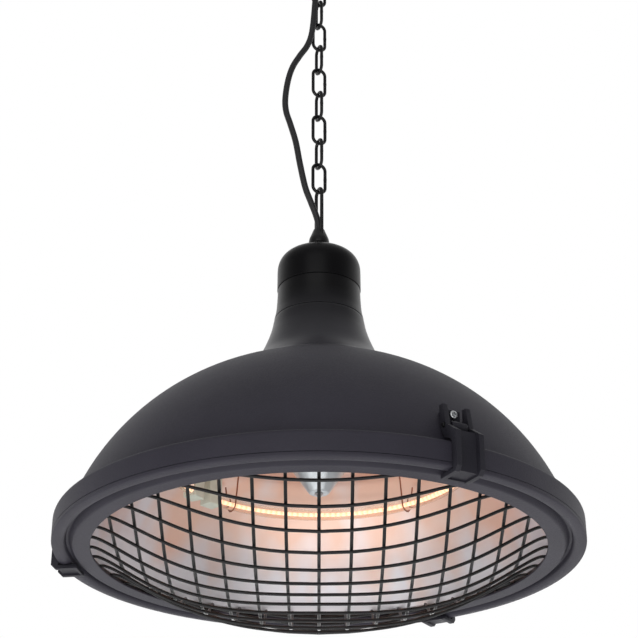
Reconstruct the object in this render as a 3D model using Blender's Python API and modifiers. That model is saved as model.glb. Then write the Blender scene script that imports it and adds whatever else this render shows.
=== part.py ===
"""Hanging patio heater: a domed shade with a ring-shaped lamp, on a chain under a ceiling canopy.

All lengths are in metres and +Z is up. The origin is on the top face of the ceiling canopy.
Heights are first worked out above the rim plane, where the shade's collar meets the rim ring,
and every piece is then hung below the ceiling by RIM_LEVEL.
"""

import math

import bmesh
import bpy
from mathutils import Matrix, Vector

COLLECTION_NAME = "hanging_patio_heater"
CUTTER_COLLECTION_NAME = "cutters"

# Common clearances and overruns
SEAT_GAP = 0.0003
OVERRUN = 0.002
MERGE_DISTANCE = 0.00001

# Facets of round pieces
LARGE_STEPS = 48
BOWL_STEPS = 36
MEDIUM_STEPS = 24
SMALL_STEPS = 16
PIN_STEPS = 12

# Shade: an arc whose centre lies beside and below the middle, with a flat top and a collar
RIM_RADIUS = 0.2125
SHADE_ARC_INSET = 0.0155
SHADE_ARC_ASIDE = 0.014
SHADE_ARC_DROP = 0.042
SHADE_WALL = 0.0015
SHADE_FLAT_RADIUS = 0.066
SHADE_HOLE_RADIUS = 0.028
SHADE_ARC_PIECES = 4
COLLAR_HEIGHT = 0.0168
COLLAR_ROUND = 0.003
COLLAR_SHOULDER_RISE = 0.0022

# Rim ring, a pressed ring with a rounded lip, a groove and a flat inner flange
LIP_DEPTH = 0.0039
LIP_WIDTH = 0.0104
LIP_EDGE_SHARE = 0.3
LIP_ROUND_SHARE = 0.82
GROOVE_SIDE_WIDTH = 0.0009
GROOVE_FLOOR_WIDTH = 0.0022
GROOVE_SLOPE_WIDTH = 0.0035
GROOVE_HEIGHT = 0.0016
FLANGE_WIDTH = 0.0135
FLANGE_DEPTH = 0.0039
RING_SHEET = 0.0016

# Neck above the shade: bell, band and cap
BELL_TOP_RADIUS = 0.0388
BELL_FOOT_RADIUS = 0.0640
BELL_HEIGHT = 0.0577
NECK_WALL = 0.0025
BAND_RADIUS = 0.0359
BAND_FOOT_RADIUS = 0.0386
BAND_HEIGHT = 0.0294
BAND_FLOOR = 0.002
BAND_CHAMFER = 0.0006
WIRE_PASSAGE_RADIUS = 0.006
CAP_RADIUS = 0.0364
CAP_SKIRT_HEIGHT = 0.0155
CAP_CROWN_HEIGHT = 0.0234
BAND_FLARE_SHARES = ((0.0, 1.0), (0.10, 0.67), (0.26, 0.40), (0.50, 0.22), (1.0, 0.0))
BELL_FLARE_SHARES = ((0.0, 1.0), (0.09, 0.80), (0.25, 0.58), (0.48, 0.36), (0.77, 0.19))
BELL_EDGE_SHARE = 0.07
CROWN_POWER_SHARE = 0.7
CROWN_PIECES = 5

# Suspension: hollow stem, lock nut, washer, seal, cone nut and loop
STEM_RADIUS = 0.0055
STEM_BORE_RADIUS = 0.0036
STEM_HANG = 0.018
LOCK_NUT_ACROSS_CORNERS = 0.0196
LOCK_NUT_HEIGHT = 0.006
WASHER_RADIUS = 0.0098
WASHER_HEIGHT = 0.004
SEAL_RADIUS = 0.0086
SEAL_HEIGHT = 0.0026
CONE_NUT_RADIUS = 0.0091
CONE_NUT_TOP_RADIUS = 0.0048
CONE_NUT_HEIGHT = 0.016
CONE_NUT_SKIRT = 0.003
CONE_NUT_FLOOR = 0.0038
STEM_ENGAGEMENT = 0.0024
CONE_NUT_SHARES = ((0.0, 1.0), (0.22, 0.90), (0.55, 0.52), (0.82, 0.19), (1.0, 0.0))
LOOP_WIRE_RADIUS = 0.0016
LOOP_BOW_RADIUS = 0.006
LOOP_RISE = 0.0408

# Chain and hook
LINK_COUNT = 10
LINK_WIRE_RADIUS = 0.0015
LINK_BOW_RADIUS = 0.006
LINK_INNER_LENGTH = 0.0267
BOW_PIECES = 6
CHAIN_TURN = math.radians(24.0)
HOOK_WIRE_RADIUS = 0.0025
HOOK_BOW_RADIUS = 0.009
HOOK_REACH = 0.0235
HOOK_START_ANGLE = math.radians(62.0)
HOOK_OPEN_ANGLE = math.radians(170.0)
HOOK_PIECES = 10

# Ceiling canopy
CANOPY_RADIUS = 0.045
CANOPY_HEIGHT = 0.030
CANOPY_WALL = 0.0015
CANOPY_CORNER = 0.011
CANOPY_CORNER_PIECES = 4
CANOPY_PLATE = 0.003
CANOPY_PLATE_CLEARANCE = 0.0005
CANOPY_BOSS_RADIUS = 0.008
CANOPY_BOSS_DEPTH = 0.014
CANOPY_POST_RADIUS = 0.004
CANOPY_POST_DISTANCE = 0.024
CANOPY_FIXING_DISTANCE = 0.033
CANOPY_FIXING_RADIUS = 0.0025
CANOPY_SCREW_RADIUS = 0.0015
CANOPY_SCREW_HEAD_RADIUS = 0.0034
CANOPY_SCREW_HEAD_HEIGHT = 0.0022
CANOPY_SCREW_LENGTH = 0.010
SCREW_CLEARANCE = 0.0003
CANOPY_GLAND_RADIUS = 0.0062
CANOPY_GLAND_NECK_RADIUS = 0.0050
CANOPY_GLAND_NOSE = 0.008
CANOPY_GLAND_FLANGE = 0.002
CANOPY_BLOCK_SIZE = (0.013, 0.009, 0.008)

# Power cord
CORD_RADIUS = 0.00285
CORD_CLEARANCE = 0.0003
CORD_STEP = 0.0078
# Places along the cord: sideways, towards the back, and above the rim plane
CORD_ROUTE = (
    (0.0000, 0.0000, 0.2400),
    (0.0000, 0.0000, 0.2620),
    (0.0000, 0.0000, 0.2820),
    (0.0000, 0.0000, 0.2960),
    (-0.0007, -0.0003, 0.3050),
    (-0.0030, -0.0013, 0.3140),
    (-0.0075, -0.0034, 0.3260),
    (-0.0124, -0.0052, 0.3400),
    (-0.0171, -0.0068, 0.3630),
    (-0.0212, -0.0075, 0.3870),
    (-0.0262, -0.0078, 0.4060),
    (-0.0302, -0.0080, 0.4200),
    (-0.0312, -0.0081, 0.4340),
    (-0.0290, -0.0081, 0.4540),
    (-0.0248, -0.0081, 0.4700),
    (-0.0182, -0.0081, 0.4830),
    (-0.0115, -0.0082, 0.4940),
    (-0.0075, -0.0084, 0.5060),
    (-0.0056, -0.0087, 0.5200),
    (-0.0045, -0.0089, 0.5340),
    (-0.0036, -0.0086, 0.5470),
    (-0.0016, -0.0066, 0.5550),
    (-0.0002, -0.0034, 0.5590),
    (0.0000, 0.0000, 0.5620),
    (0.0002, 0.0034, 0.5650),
    (0.0018, 0.0069, 0.5695),
    (0.0034, 0.0087, 0.5760),
    (0.0052, 0.0103, 0.5900),
    (0.0078, 0.0120, 0.6040),
    (0.0095, 0.0130, 0.6160),
    (0.0095, 0.0130, 0.6280),
    (0.0095, 0.0130, 0.6400),
)

# Inside the shade: clamp plate, tie rods, posts, heat shield, terminal block
PLATE_RADIUS = 0.050
PLATE_THICKNESS = 0.002
PLATE_HOLE_RADIUS = 0.015
ROD_RADIUS = 0.002
ROD_CIRCLE_RADIUS = 0.024
ROD_HEAD_RADIUS = 0.004
ROD_HEAD_HEIGHT = 0.003
ROD_TOP_SHORT = 0.004
BOSS_RADIUS = 0.0045
BOSS_LENGTH = 0.019
BOSS_BURY = 0.006
POST_RADIUS = 0.005
POST_NECK_RADIUS = 0.003
POST_CIRCLE_RADIUS = 0.040
SHIELD_RADIUS = 0.085
SHIELD_THICKNESS = 0.001
SHIELD_HEIGHT = 0.017
SHIELD_HOLE_RADIUS = 0.012
TERMINAL_SIZE = (0.024, 0.016)

# Reflector bowl and its cone
REFLECTOR_WALL = 0.001
REFLECTOR_BELOW_SHADE = 0.039
REFLECTOR_FOOT = 0.005
REFLECTOR_FOOT_INSET = 0.023
REFLECTOR_LIP_INSET = 0.0165
REFLECTOR_CROWN_BEYOND_FLAT = 0.034
REFLECTOR_SHARES = ((0.30, 0.95), (0.56, 0.78), (0.76, 0.51), (0.90, 0.21))
CONE_TOP_RADIUS = 0.047
CONE_TIP_RADIUS = 0.008
CONE_HEIGHT = 0.060
CONE_WALL = 0.0012
BOLT_RADIUS = 0.002
BOLT_HEAD_RADIUS = 0.0035
BOLT_HEAD_HEIGHT = 0.002
BOLT_NUT_HEIGHT = 0.004

# Lamp: a ring of quartz tube in two ceramic ends and three wire slings
LAMP_INSET = 0.0875
LAMP_TUBE_RADIUS = 0.005
LAMP_BELOW_REFLECTOR = 0.033
LAMP_PIECES = 36
LAMP_GAP_AZIMUTH = math.radians(144.0)
LAMP_START_SHARE = 0.003
LAMP_END_GAP = 0.010
LAMP_END_LENGTH = 0.014
LAMP_END_WIDTH = 0.013
LAMP_END_BELOW = 0.007
SLING_WIRE_RADIUS = 0.0008
SLING_SPREAD = 0.010
SLING_AZIMUTHS = (math.radians(52.0), math.radians(128.0), math.radians(270.0))

# Wire grille: two layers of wire on one rim wire, bulging downwards
GRILLE_WIRE_RADIUS = 0.0013
GRILLE_PITCH = 0.0238
GRILLE_RIM_OVERLAP = 0.005
GRILLE_RIM_WIRE_RADIUS = 0.002
GRILLE_EDGE_INSET = 0.0008
GRILLE_DEPTH = 0.0468
GRILLE_DISH_POWER = 3.5
GRILLE_EDGE_POWER = 1.45
GRILLE_RADIUS_SHARES = (0.91, 0.745, 0.55, 0.30)
GRILLE_RIM_STEPS = 36
GRILLE_SPACING_STEPS = 400

# Clamps that hold the rim ring up against the collar: channel-shaped arms with two prongs
CLAMP_AZIMUTHS = (math.radians(-61.2), math.radians(58.8), math.radians(171.3))
CLAMP_PIN_INSET = 0.0085
CLAMP_PIN_HEIGHT = 0.031
CLAMP_PIN_RADIUS = 0.00175
CLAMP_PIN_LENGTH = 0.026
RUNNING_CLEARANCE = 0.0003
LUG_WIDTH = 0.013
LUG_TOP_HEIGHT = 0.047
LUG_BOTTOM_HEIGHT = 0.0235
LUG_FACE_INSET = 0.014
LUG_FACE_FOOT_HEIGHT = 0.0385
LUG_NOSE_RADIUS = 0.0042
LUG_NOSE_START = math.radians(100.0)
LUG_NOSE_SWEEP = math.radians(180.0)
LUG_NOSE_PIECES = 5
LUG_SLOT_WIDTH = 0.0032
LUG_SLOT_DEPTH = 0.003
LUG_SLOT_BOTTOM_HEIGHT = 0.0355
LUG_SLOT_TOP_HEIGHT = 0.0395
ARM_WIDTH = 0.0234
ARM_COLLAR_GAP = 0.0005
ARM_SHEET = 0.0014
ARM_STRIP_INSET = 0.0002
RAIL_WIDTH = 0.004
RAIL_PROUD = 0.0046
RAIL_CORNER = 0.0035
RAIL_FOOT_DEPTH = 0.003
FOOT_CLEARANCE = 0.0005
FOOT_REACH = 0.015
FOOT_RIM = 0.002
WEB_TOP_HEIGHT = 0.0245
KNEE_HEIGHT = 0.0225
KNEE_BACK_INSET = 0.009
KNEE_BACK_RISE = 0.005
COLLAR_CLEARANCE = 0.001
PRONG_HEIGHT = 0.017
PRONG_BEHIND_PIN = 0.005
PRONG_BEFORE_PIN = 0.003
PRONG_TIP_BEHIND_PIN = 0.0005
CLAMP_SCREW_HEIGHT = 0.0428
CLAMP_SCREW_RADIUS = 0.0015
CLAMP_SCREW_LENGTH = 0.005
CLAMP_SCREW_HEAD_RADIUS = 0.003
CLAMP_SCREW_HEAD_HEIGHT = 0.0022
SCREW_HEAD_SHARE = 0.75

# Distances from the axis, each taken from the rim or from the piece outside it
SHADE_ARC_RADIUS = RIM_RADIUS - SHADE_ARC_INSET
LIP_INNER_RADIUS = RIM_RADIUS - LIP_WIDTH
GROOVE_OUTER_RADIUS = LIP_INNER_RADIUS - GROOVE_SIDE_WIDTH
GROOVE_INNER_RADIUS = GROOVE_OUTER_RADIUS - GROOVE_FLOOR_WIDTH
FLANGE_OUTER_RADIUS = GROOVE_INNER_RADIUS - GROOVE_SLOPE_WIDTH
OPENING_RADIUS = FLANGE_OUTER_RADIUS - FLANGE_WIDTH
GRILLE_RIM_RADIUS = OPENING_RADIUS + GRILLE_RIM_OVERLAP
GRILLE_DISH_RADIUS = OPENING_RADIUS - GRILLE_EDGE_INSET
REFLECTOR_FOOT_RADIUS = RIM_RADIUS - REFLECTOR_FOOT_INSET
REFLECTOR_LIP_RADIUS = RIM_RADIUS - REFLECTOR_LIP_INSET
REFLECTOR_CROWN_RADIUS = SHADE_FLAT_RADIUS + REFLECTOR_CROWN_BEYOND_FLAT
LAMP_RADIUS = RIM_RADIUS - LAMP_INSET
CLAMP_PIN_RADIAL = RIM_RADIUS - CLAMP_PIN_INSET
LUG_FACE_RADIAL = RIM_RADIUS - LUG_FACE_INSET


def shade_height(radius):
    """Height of the shade's outer arc above the rim, at a distance from the axis."""
    return math.sqrt(SHADE_ARC_RADIUS**2 - (radius - SHADE_ARC_ASIDE) ** 2) - SHADE_ARC_DROP


def shade_radius(height):
    """Distance of the shade's outer arc from the axis, at a height above the rim."""
    return SHADE_ARC_ASIDE + math.sqrt(SHADE_ARC_RADIUS**2 - (height + SHADE_ARC_DROP) ** 2)


# Heights above the rim plane, each piece seated on the one below it or hung from the one above
SHADE_TOP = shade_height(SHADE_FLAT_RADIUS)
REFLECTOR_HEIGHT = SHADE_TOP - REFLECTOR_BELOW_SHADE
CONE_TIP_HEIGHT = REFLECTOR_HEIGHT - CONE_HEIGHT
LAMP_HEIGHT = REFLECTOR_HEIGHT - LAMP_BELOW_REFLECTOR
BELL_BOTTOM = SHADE_TOP + SEAT_GAP
BELL_TOP = BELL_BOTTOM + BELL_HEIGHT
BAND_BOTTOM = BELL_TOP + SEAT_GAP
BAND_TOP = BAND_BOTTOM + BAND_HEIGHT
CAP_BOTTOM = BAND_TOP + SEAT_GAP
CAP_SHOULDER = CAP_BOTTOM + CAP_SKIRT_HEIGHT
CAP_TOP = CAP_SHOULDER + CAP_CROWN_HEIGHT
WASHER_BOTTOM = CAP_TOP + SEAT_GAP
WASHER_TOP = WASHER_BOTTOM + WASHER_HEIGHT
SEAL_BOTTOM = WASHER_TOP + SEAT_GAP
SEAL_TOP = SEAL_BOTTOM + SEAL_HEIGHT
CONE_NUT_BOTTOM = SEAL_TOP + SEAT_GAP
CONE_NUT_TOP = CONE_NUT_BOTTOM + CONE_NUT_HEIGHT
LOOP_INNER_TOP = CONE_NUT_TOP + LOOP_RISE
LINK_PITCH = LINK_INNER_LENGTH - SEAT_GAP
HOOK_SEAT = LOOP_INNER_TOP - SEAT_GAP + LINK_COUNT * LINK_PITCH
CANOPY_BOTTOM = HOOK_SEAT + HOOK_REACH
RIM_LEVEL = -(CANOPY_BOTTOM + CANOPY_HEIGHT)
STEM_CLEAR_RADIUS = STEM_RADIUS + SEAT_GAP
FACET_SHARE = math.cos(math.pi / LARGE_STEPS)

# Horizontal directions of the chain: flat-on links lie along WIDE, edge-on links along NARROW
WIDE = Vector((math.cos(CHAIN_TURN), math.sin(CHAIN_TURN), 0.0))
NARROW = Vector((math.sin(CHAIN_TURN), -math.cos(CHAIN_TURN), 0.0))


def clear_scene():
    for obj in list(bpy.data.objects):
        bpy.data.objects.remove(obj, do_unlink=True)


def make_collection(name):
    collection = bpy.data.collections.new(name)
    bpy.context.scene.collection.children.link(collection)
    return collection


def make_material(name, colour, roughness, metallic):
    material = bpy.data.materials.new(name)
    material.use_nodes = True
    shader = material.node_tree.nodes["Principled BSDF"]
    shader.inputs["Base Color"].default_value = (*colour, 1.0)
    shader.inputs["Roughness"].default_value = roughness
    shader.inputs["Metallic"].default_value = metallic
    material.diffuse_color = (*colour, 1.0)
    return material


clear_scene()
PARTS = make_collection(COLLECTION_NAME)
CUTTERS = make_collection(CUTTER_COLLECTION_NAME)
CHARCOAL = make_material("charcoal_powder_coat", (0.042, 0.041, 0.047), 0.55, 0.0)
BLACK_PLASTIC = make_material("black_moulded_plastic", (0.010, 0.010, 0.012), 0.45, 0.0)
BLACK_STEEL = make_material("black_coated_steel", (0.016, 0.016, 0.018), 0.40, 0.6)
ZINC = make_material("zinc_plated_steel", (0.55, 0.56, 0.58), 0.32, 1.0)
ALUMINIUM = make_material("polished_aluminium", (0.78, 0.74, 0.72), 0.18, 1.0)
QUARTZ = make_material("gold_quartz_glass", (0.90, 0.58, 0.30), 0.10, 0.0)
CERAMIC = make_material("white_ceramic", (0.72, 0.70, 0.64), 0.60, 0.0)
RUBBER = make_material("black_rubber", (0.020, 0.020, 0.021), 0.62, 0.0)
WHITE_PLASTIC = make_material("white_plastic", (0.70, 0.70, 0.68), 0.45, 0.0)


def place(obj, material, collection=None, level=RIM_LEVEL):
    """Gives an object its material and collection, and hangs it at its level."""
    obj.data.materials.append(material)
    obj.location.z += level
    (collection or PARTS).objects.link(obj)
    return obj


def turned(name, profile, steps, material, wall=0.0, flat_at=None, level=RIM_LEVEL):
    """A turned piece from a profile of (radius, height) that runs down its outer side.

    A profile that ends off the axis is closed on itself, unless a wall thickness is given,
    and then it is the outer skin of a shell. flat_at is the azimuth of the middle of a facet.
    """
    angle = 0.0 if flat_at is None else flat_at + math.pi / steps
    mesh = bpy.data.meshes.new(name)
    places = [(r * math.cos(angle), r * math.sin(angle), z) for r, z in profile]
    edges = [(i, i + 1) for i in range(len(profile) - 1)]
    on_axis = profile[0][0] == 0.0 and profile[-1][0] == 0.0
    if not wall and not on_axis:
        edges.append((len(profile) - 1, 0))
    mesh.from_pydata(places, edges, [])
    obj = bpy.data.objects.new(name, mesh)
    screw = obj.modifiers.new("Turn", "SCREW")
    screw.axis = "Z"
    screw.angle = 2.0 * math.pi
    screw.steps = steps
    screw.render_steps = steps
    screw.use_merge_vertices = True
    screw.merge_threshold = MERGE_DISTANCE
    screw.use_smooth_shade = True
    if wall:
        skin = obj.modifiers.new("Wall", "SOLIDIFY")
        skin.thickness = wall
        skin.offset = -1.0
        skin.use_even_offset = True
    return place(obj, material, level=level)


def object_from_bmesh(name, bm):
    mesh = bpy.data.meshes.new(name)
    bmesh.ops.recalc_face_normals(bm, faces=bm.faces)
    bm.to_mesh(mesh)
    bm.free()
    return bpy.data.objects.new(name, mesh)


def add_cylinder(bm, radius, bottom, top, centre=(0.0, 0.0), segments=SMALL_STEPS, turn=None):
    """Adds an upright cylinder to a mesh; turn is a matrix applied afterwards."""
    middle = Matrix.Translation((centre[0], centre[1], (bottom + top) / 2.0))
    matrix = (turn or Matrix.Identity(4)) @ middle
    bmesh.ops.create_cone(
        bm,
        cap_ends=True,
        segments=segments,
        radius1=radius,
        radius2=radius,
        depth=top - bottom,
        matrix=matrix,
    )


def add_box(bm, low, high, turn=None):
    """Adds a box between two corners to a mesh; turn is a matrix applied afterwards."""
    low, high = Vector(low), Vector(high)
    scale = Matrix.Diagonal((*(high - low), 1.0))
    matrix = (turn or Matrix.Identity(4)) @ Matrix.Translation((low + high) / 2.0) @ scale
    bmesh.ops.create_cube(bm, size=1.0, matrix=matrix)


def on_circle(radius, azimuths):
    return [(radius * math.cos(a), radius * math.sin(a)) for a in azimuths]


def boolean(target, tool, operation):
    """Cuts or joins target with tool, which becomes a hidden wire object."""
    if PARTS in tool.users_collection:
        PARTS.objects.unlink(tool)
    if CUTTERS not in tool.users_collection:
        CUTTERS.objects.link(tool)
    tool.hide_render = True
    tool.display_type = "WIRE"
    modifier = target.modifiers.new(operation.title(), "BOOLEAN")
    modifier.operation = operation
    modifier.object = tool
    modifier.solver = "EXACT"
    return modifier


def cut_holes(target, name, holes, level=RIM_LEVEL):
    """Cuts upright round holes, each (radius, bottom, top, centre)."""
    bm = bmesh.new()
    for radius, bottom, top, centre in holes:
        add_cylinder(bm, radius, bottom, top, centre)
    tool = object_from_bmesh(name, bm)
    tool.location.z += level
    return boolean(target, tool, "DIFFERENCE")


def wire_curve(name, points, radius, cyclic=False, resolution=2):
    """A round wire along points, as a curve object with filled caps."""
    curve = bpy.data.curves.new(name, "CURVE")
    curve.dimensions = "3D"
    curve.bevel_depth = radius
    curve.bevel_resolution = resolution
    curve.use_fill_caps = True
    spline = curve.splines.new("POLY")
    spline.points.add(len(points) - 1)
    for target, point in zip(spline.points, points):
        target.co = (*point, 1.0)
    spline.use_cyclic_u = cyclic
    spline.use_smooth = True
    return bpy.data.objects.new(name, curve)


def outline_curve(name, outline, thickness):
    """A flat plate from its outline in X and Y, thickness centred on Z = 0."""
    curve = bpy.data.curves.new(name, "CURVE")
    curve.dimensions = "2D"
    curve.fill_mode = "BOTH"
    curve.extrude = thickness / 2.0
    spline = curve.splines.new("POLY")
    spline.points.add(len(outline) - 1)
    for target, (x, y) in zip(spline.points, outline):
        target.co = (x, y, 0.0, 1.0)
    spline.use_cyclic_u = True
    return bpy.data.objects.new(name, curve)


def welded_mesh(curve_object):
    """The mesh of a curve object with its caps welded; the curve object is removed."""
    bpy.context.scene.collection.objects.link(curve_object)
    bpy.context.view_layer.update()
    evaluated = curve_object.evaluated_get(bpy.context.evaluated_depsgraph_get())
    mesh = bpy.data.meshes.new_from_object(evaluated)
    bpy.data.objects.remove(curve_object, do_unlink=True)
    bm = bmesh.new()
    bm.from_mesh(mesh)
    bmesh.ops.remove_doubles(bm, verts=bm.verts, dist=MERGE_DISTANCE)
    bmesh.ops.recalc_face_normals(bm, faces=bm.faces)
    bm.to_mesh(mesh)
    bm.free()
    return mesh


def add_mesh(bm, mesh, turn=None):
    """Adds a copy of a mesh to another, after a matrix."""
    copy = mesh.copy()
    copy.transform(turn or Matrix.Identity(4))
    bm.from_mesh(copy)
    bpy.data.meshes.remove(copy)


def smooth_route(points, step):
    """Points at about equal steps on a smooth curve through the given points."""
    nodes = [Vector(p) for p in points]
    nodes = [nodes[0] * 2.0 - nodes[1]] + nodes + [nodes[-1] * 2.0 - nodes[-2]]
    samples = 12
    fine = []
    for a, b, c, d in zip(nodes, nodes[1:], nodes[2:], nodes[3:]):
        for i in range(samples):
            t = i / samples
            fine.append(
                0.5
                * (
                    2.0 * b
                    + (c - a) * t
                    + (2.0 * a - 5.0 * b + 4.0 * c - d) * t**2
                    + (3.0 * b - a - 3.0 * c + d) * t**3
                )
            )
    fine.append(nodes[-2])
    along = [0.0]
    for a, b in zip(fine, fine[1:]):
        along.append(along[-1] + (b - a).length)
    count = max(2, round(along[-1] / step))
    route = []
    j = 0
    for i in range(count + 1):
        wanted = along[-1] * i / count
        while j < len(along) - 2 and along[j + 1] < wanted:
            j += 1
        share = (wanted - along[j]) / (along[j + 1] - along[j])
        route.append(fine[j].lerp(fine[j + 1], min(max(share, 0.0), 1.0)))
    return route, along[-1]


def height_on(profile, radius):
    """Height of an outline of (radius, height) at a radius, by straight runs."""
    ordered = sorted(profile)
    for (r0, z0), (r1, z1) in zip(ordered, ordered[1:]):
        if r0 <= radius <= r1 and r1 > r0:
            return z0 + (z1 - z0) * (radius - r0) / (r1 - r0)
    return ordered[-1][1]


def hang_under(children, parent_name, point, parent=None):
    """Parents objects to an empty that stands at their joint."""
    empty = bpy.data.objects.new(parent_name, None)
    empty.empty_display_size = LINK_BOW_RADIUS
    PARTS.objects.link(empty)
    empty.location = point
    bpy.context.view_layer.update()
    if parent is not None:
        empty.parent = parent
        empty.matrix_parent_inverse = parent.matrix_world.inverted()
        bpy.context.view_layer.update()
    for child in children:
        child.parent = empty
        child.matrix_parent_inverse = empty.matrix_world.inverted()
    return empty


def shade_profile():
    """Outer skin of the shade, from its top hole down the arc and over the collar."""
    start = math.asin((SHADE_FLAT_RADIUS - SHADE_ARC_ASIDE) / SHADE_ARC_RADIUS)
    lug_top = math.acos((LUG_TOP_HEIGHT + SHADE_ARC_DROP) / SHADE_ARC_RADIUS)
    outline = [(SHADE_HOLE_RADIUS, SHADE_TOP)]
    for i in range(SHADE_ARC_PIECES + 1):
        angle = start + (lug_top - start) * i / SHADE_ARC_PIECES
        across = SHADE_ARC_ASIDE + SHADE_ARC_RADIUS * math.sin(angle)
        outline.append((across, SHADE_ARC_RADIUS * math.cos(angle) - SHADE_ARC_DROP))
    shoulder = COLLAR_HEIGHT + COLLAR_SHOULDER_RISE
    outline.append((shade_radius(LUG_BOTTOM_HEIGHT), LUG_BOTTOM_HEIGHT))
    outline.append((shade_radius(LUG_BOTTOM_HEIGHT) + COLLAR_ROUND / 2.0, shoulder))
    outline.append((RIM_RADIUS - COLLAR_ROUND, COLLAR_HEIGHT))
    outline.append((RIM_RADIUS, COLLAR_HEIGHT - COLLAR_ROUND))
    outline.append((RIM_RADIUS, 0.0))
    return outline


def make_shade():
    return turned(
        "dome_shade",
        shade_profile(),
        LARGE_STEPS,
        CHARCOAL,
        wall=SHADE_WALL,
        flat_at=CLAMP_AZIMUTHS[0],
    )


def make_rim_ring():
    """Rounded lip outside, a groove beside it and a flat flange round the opening."""
    lip_middle = (RIM_RADIUS + LIP_INNER_RADIUS) / 2.0
    lip_quarter = (RIM_RADIUS - LIP_INNER_RADIUS) / 4.0
    flange_top = SEAT_GAP + RING_SHEET - FLANGE_DEPTH
    profile = [
        (RIM_RADIUS, -SEAT_GAP),
        (RIM_RADIUS, -SEAT_GAP - LIP_DEPTH * LIP_EDGE_SHARE),
        (lip_middle + lip_quarter, -SEAT_GAP - LIP_DEPTH * LIP_ROUND_SHARE),
        (lip_middle, -SEAT_GAP - LIP_DEPTH),
        (lip_middle - lip_quarter, -SEAT_GAP - LIP_DEPTH * LIP_ROUND_SHARE),
        (LIP_INNER_RADIUS, -SEAT_GAP - LIP_DEPTH * LIP_EDGE_SHARE),
        (GROOVE_OUTER_RADIUS, GROOVE_HEIGHT),
        (GROOVE_INNER_RADIUS, GROOVE_HEIGHT),
        (FLANGE_OUTER_RADIUS, -FLANGE_DEPTH),
        (OPENING_RADIUS + RING_SHEET / 2.0, -FLANGE_DEPTH),
        (OPENING_RADIUS, -FLANGE_DEPTH + RING_SHEET / 2.0),
        (OPENING_RADIUS, flange_top),
        (FLANGE_OUTER_RADIUS, flange_top),
        (GROOVE_INNER_RADIUS - RING_SHEET / 2.0, GROOVE_HEIGHT + RING_SHEET),
        (GROOVE_OUTER_RADIUS + RING_SHEET / 2.0, GROOVE_HEIGHT + RING_SHEET),
        (LIP_INNER_RADIUS + RING_SHEET, -SEAT_GAP),
    ]
    return turned("rim_ring", profile, LARGE_STEPS, CHARCOAL, flat_at=CLAMP_AZIMUTHS[0])


def grille_drop(radius):
    """How far the grille lies below its rim wire at a distance from the axis."""
    share = min(radius / GRILLE_DISH_RADIUS, 1.0)
    return GRILLE_DEPTH * (1.0 - share**GRILLE_DISH_POWER) ** GRILLE_EDGE_POWER


def dish_offset(distance):
    """Distance from the axis of the point that lies so far from the middle along the dish."""
    step = GRILLE_DISH_RADIUS / GRILLE_SPACING_STEPS
    radius = 0.0
    while distance > 0.0 and radius < GRILLE_DISH_RADIUS:
        run = math.hypot(step, grille_drop(radius) - grille_drop(radius + step))
        radius += step * min(distance / run, 1.0)
        distance -= run
    return radius


def wire_offsets(first):
    """Offsets of the wires of one layer, a pitch apart along the dish, on both sides."""
    offsets = []
    distance = first
    while dish_offset(distance) < GRILLE_DISH_RADIUS - GRILLE_RIM_WIRE_RADIUS:
        offsets.append(dish_offset(distance))
        distance += GRILLE_PITCH
    return sorted({side * offset for side in (-1.0, 1.0) for offset in offsets})


def grille_wire_points(offset, level, crosswise):
    """One wire of the grille at an offset from the axis, bent over the ring's flange."""
    radii = [GRILLE_RIM_RADIUS, GRILLE_DISH_RADIUS]
    radii += [share * GRILLE_DISH_RADIUS for share in GRILLE_RADIUS_SHARES]
    half = []
    for radius in radii:
        if radius > abs(offset) + GRILLE_WIRE_RADIUS:
            along = math.sqrt(radius**2 - offset**2)
            half.append((along, level - grille_drop(radius)))
    run = [(-a, z) for a, z in half] + [(0.0, level - grille_drop(abs(offset)))]
    run += [(a, z) for a, z in reversed(half)]
    if crosswise:
        return [(a, offset, z) for a, z in run]
    return [(offset, a, z) for a, z in run]


def make_grille():
    """Two layers of round wire, one across the other, welded to a rim wire."""
    flange_top = SEAT_GAP + RING_SHEET - FLANGE_DEPTH
    lower = flange_top + SEAT_GAP + GRILLE_WIRE_RADIUS
    upper = lower + 2.0 * GRILLE_WIRE_RADIUS + SEAT_GAP
    rim_level = (lower + upper) / 2.0
    rim = []
    for i in range(GRILLE_RIM_STEPS):
        angle = 2.0 * math.pi * (i + 0.5) / GRILLE_RIM_STEPS
        rim.append(
            (GRILLE_RIM_RADIUS * math.cos(angle), GRILLE_RIM_RADIUS * math.sin(angle), rim_level)
        )
    ring_mesh = welded_mesh(
        wire_curve("rim_wire", rim, GRILLE_RIM_WIRE_RADIUS, cyclic=True, resolution=0)
    )
    grille = place(bpy.data.objects.new("wire_grille", ring_mesh), BLACK_STEEL)
    layers = (
        (True, lower, wire_offsets(GRILLE_PITCH / 2.0)),
        (False, upper, [0.0] + wire_offsets(GRILLE_PITCH)),
    )
    bm = bmesh.new()
    for crosswise, level, offsets in layers:
        for offset in offsets:
            points = grille_wire_points(offset, level, crosswise)
            wire = welded_mesh(wire_curve("wire", points, GRILLE_WIRE_RADIUS, resolution=1))
            add_mesh(bm, wire)
    wires = object_from_bmesh("grille_wires", bm)
    wires.location.z = RIM_LEVEL
    union = boolean(grille, wires, "UNION")
    union.use_self = True
    return grille


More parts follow.
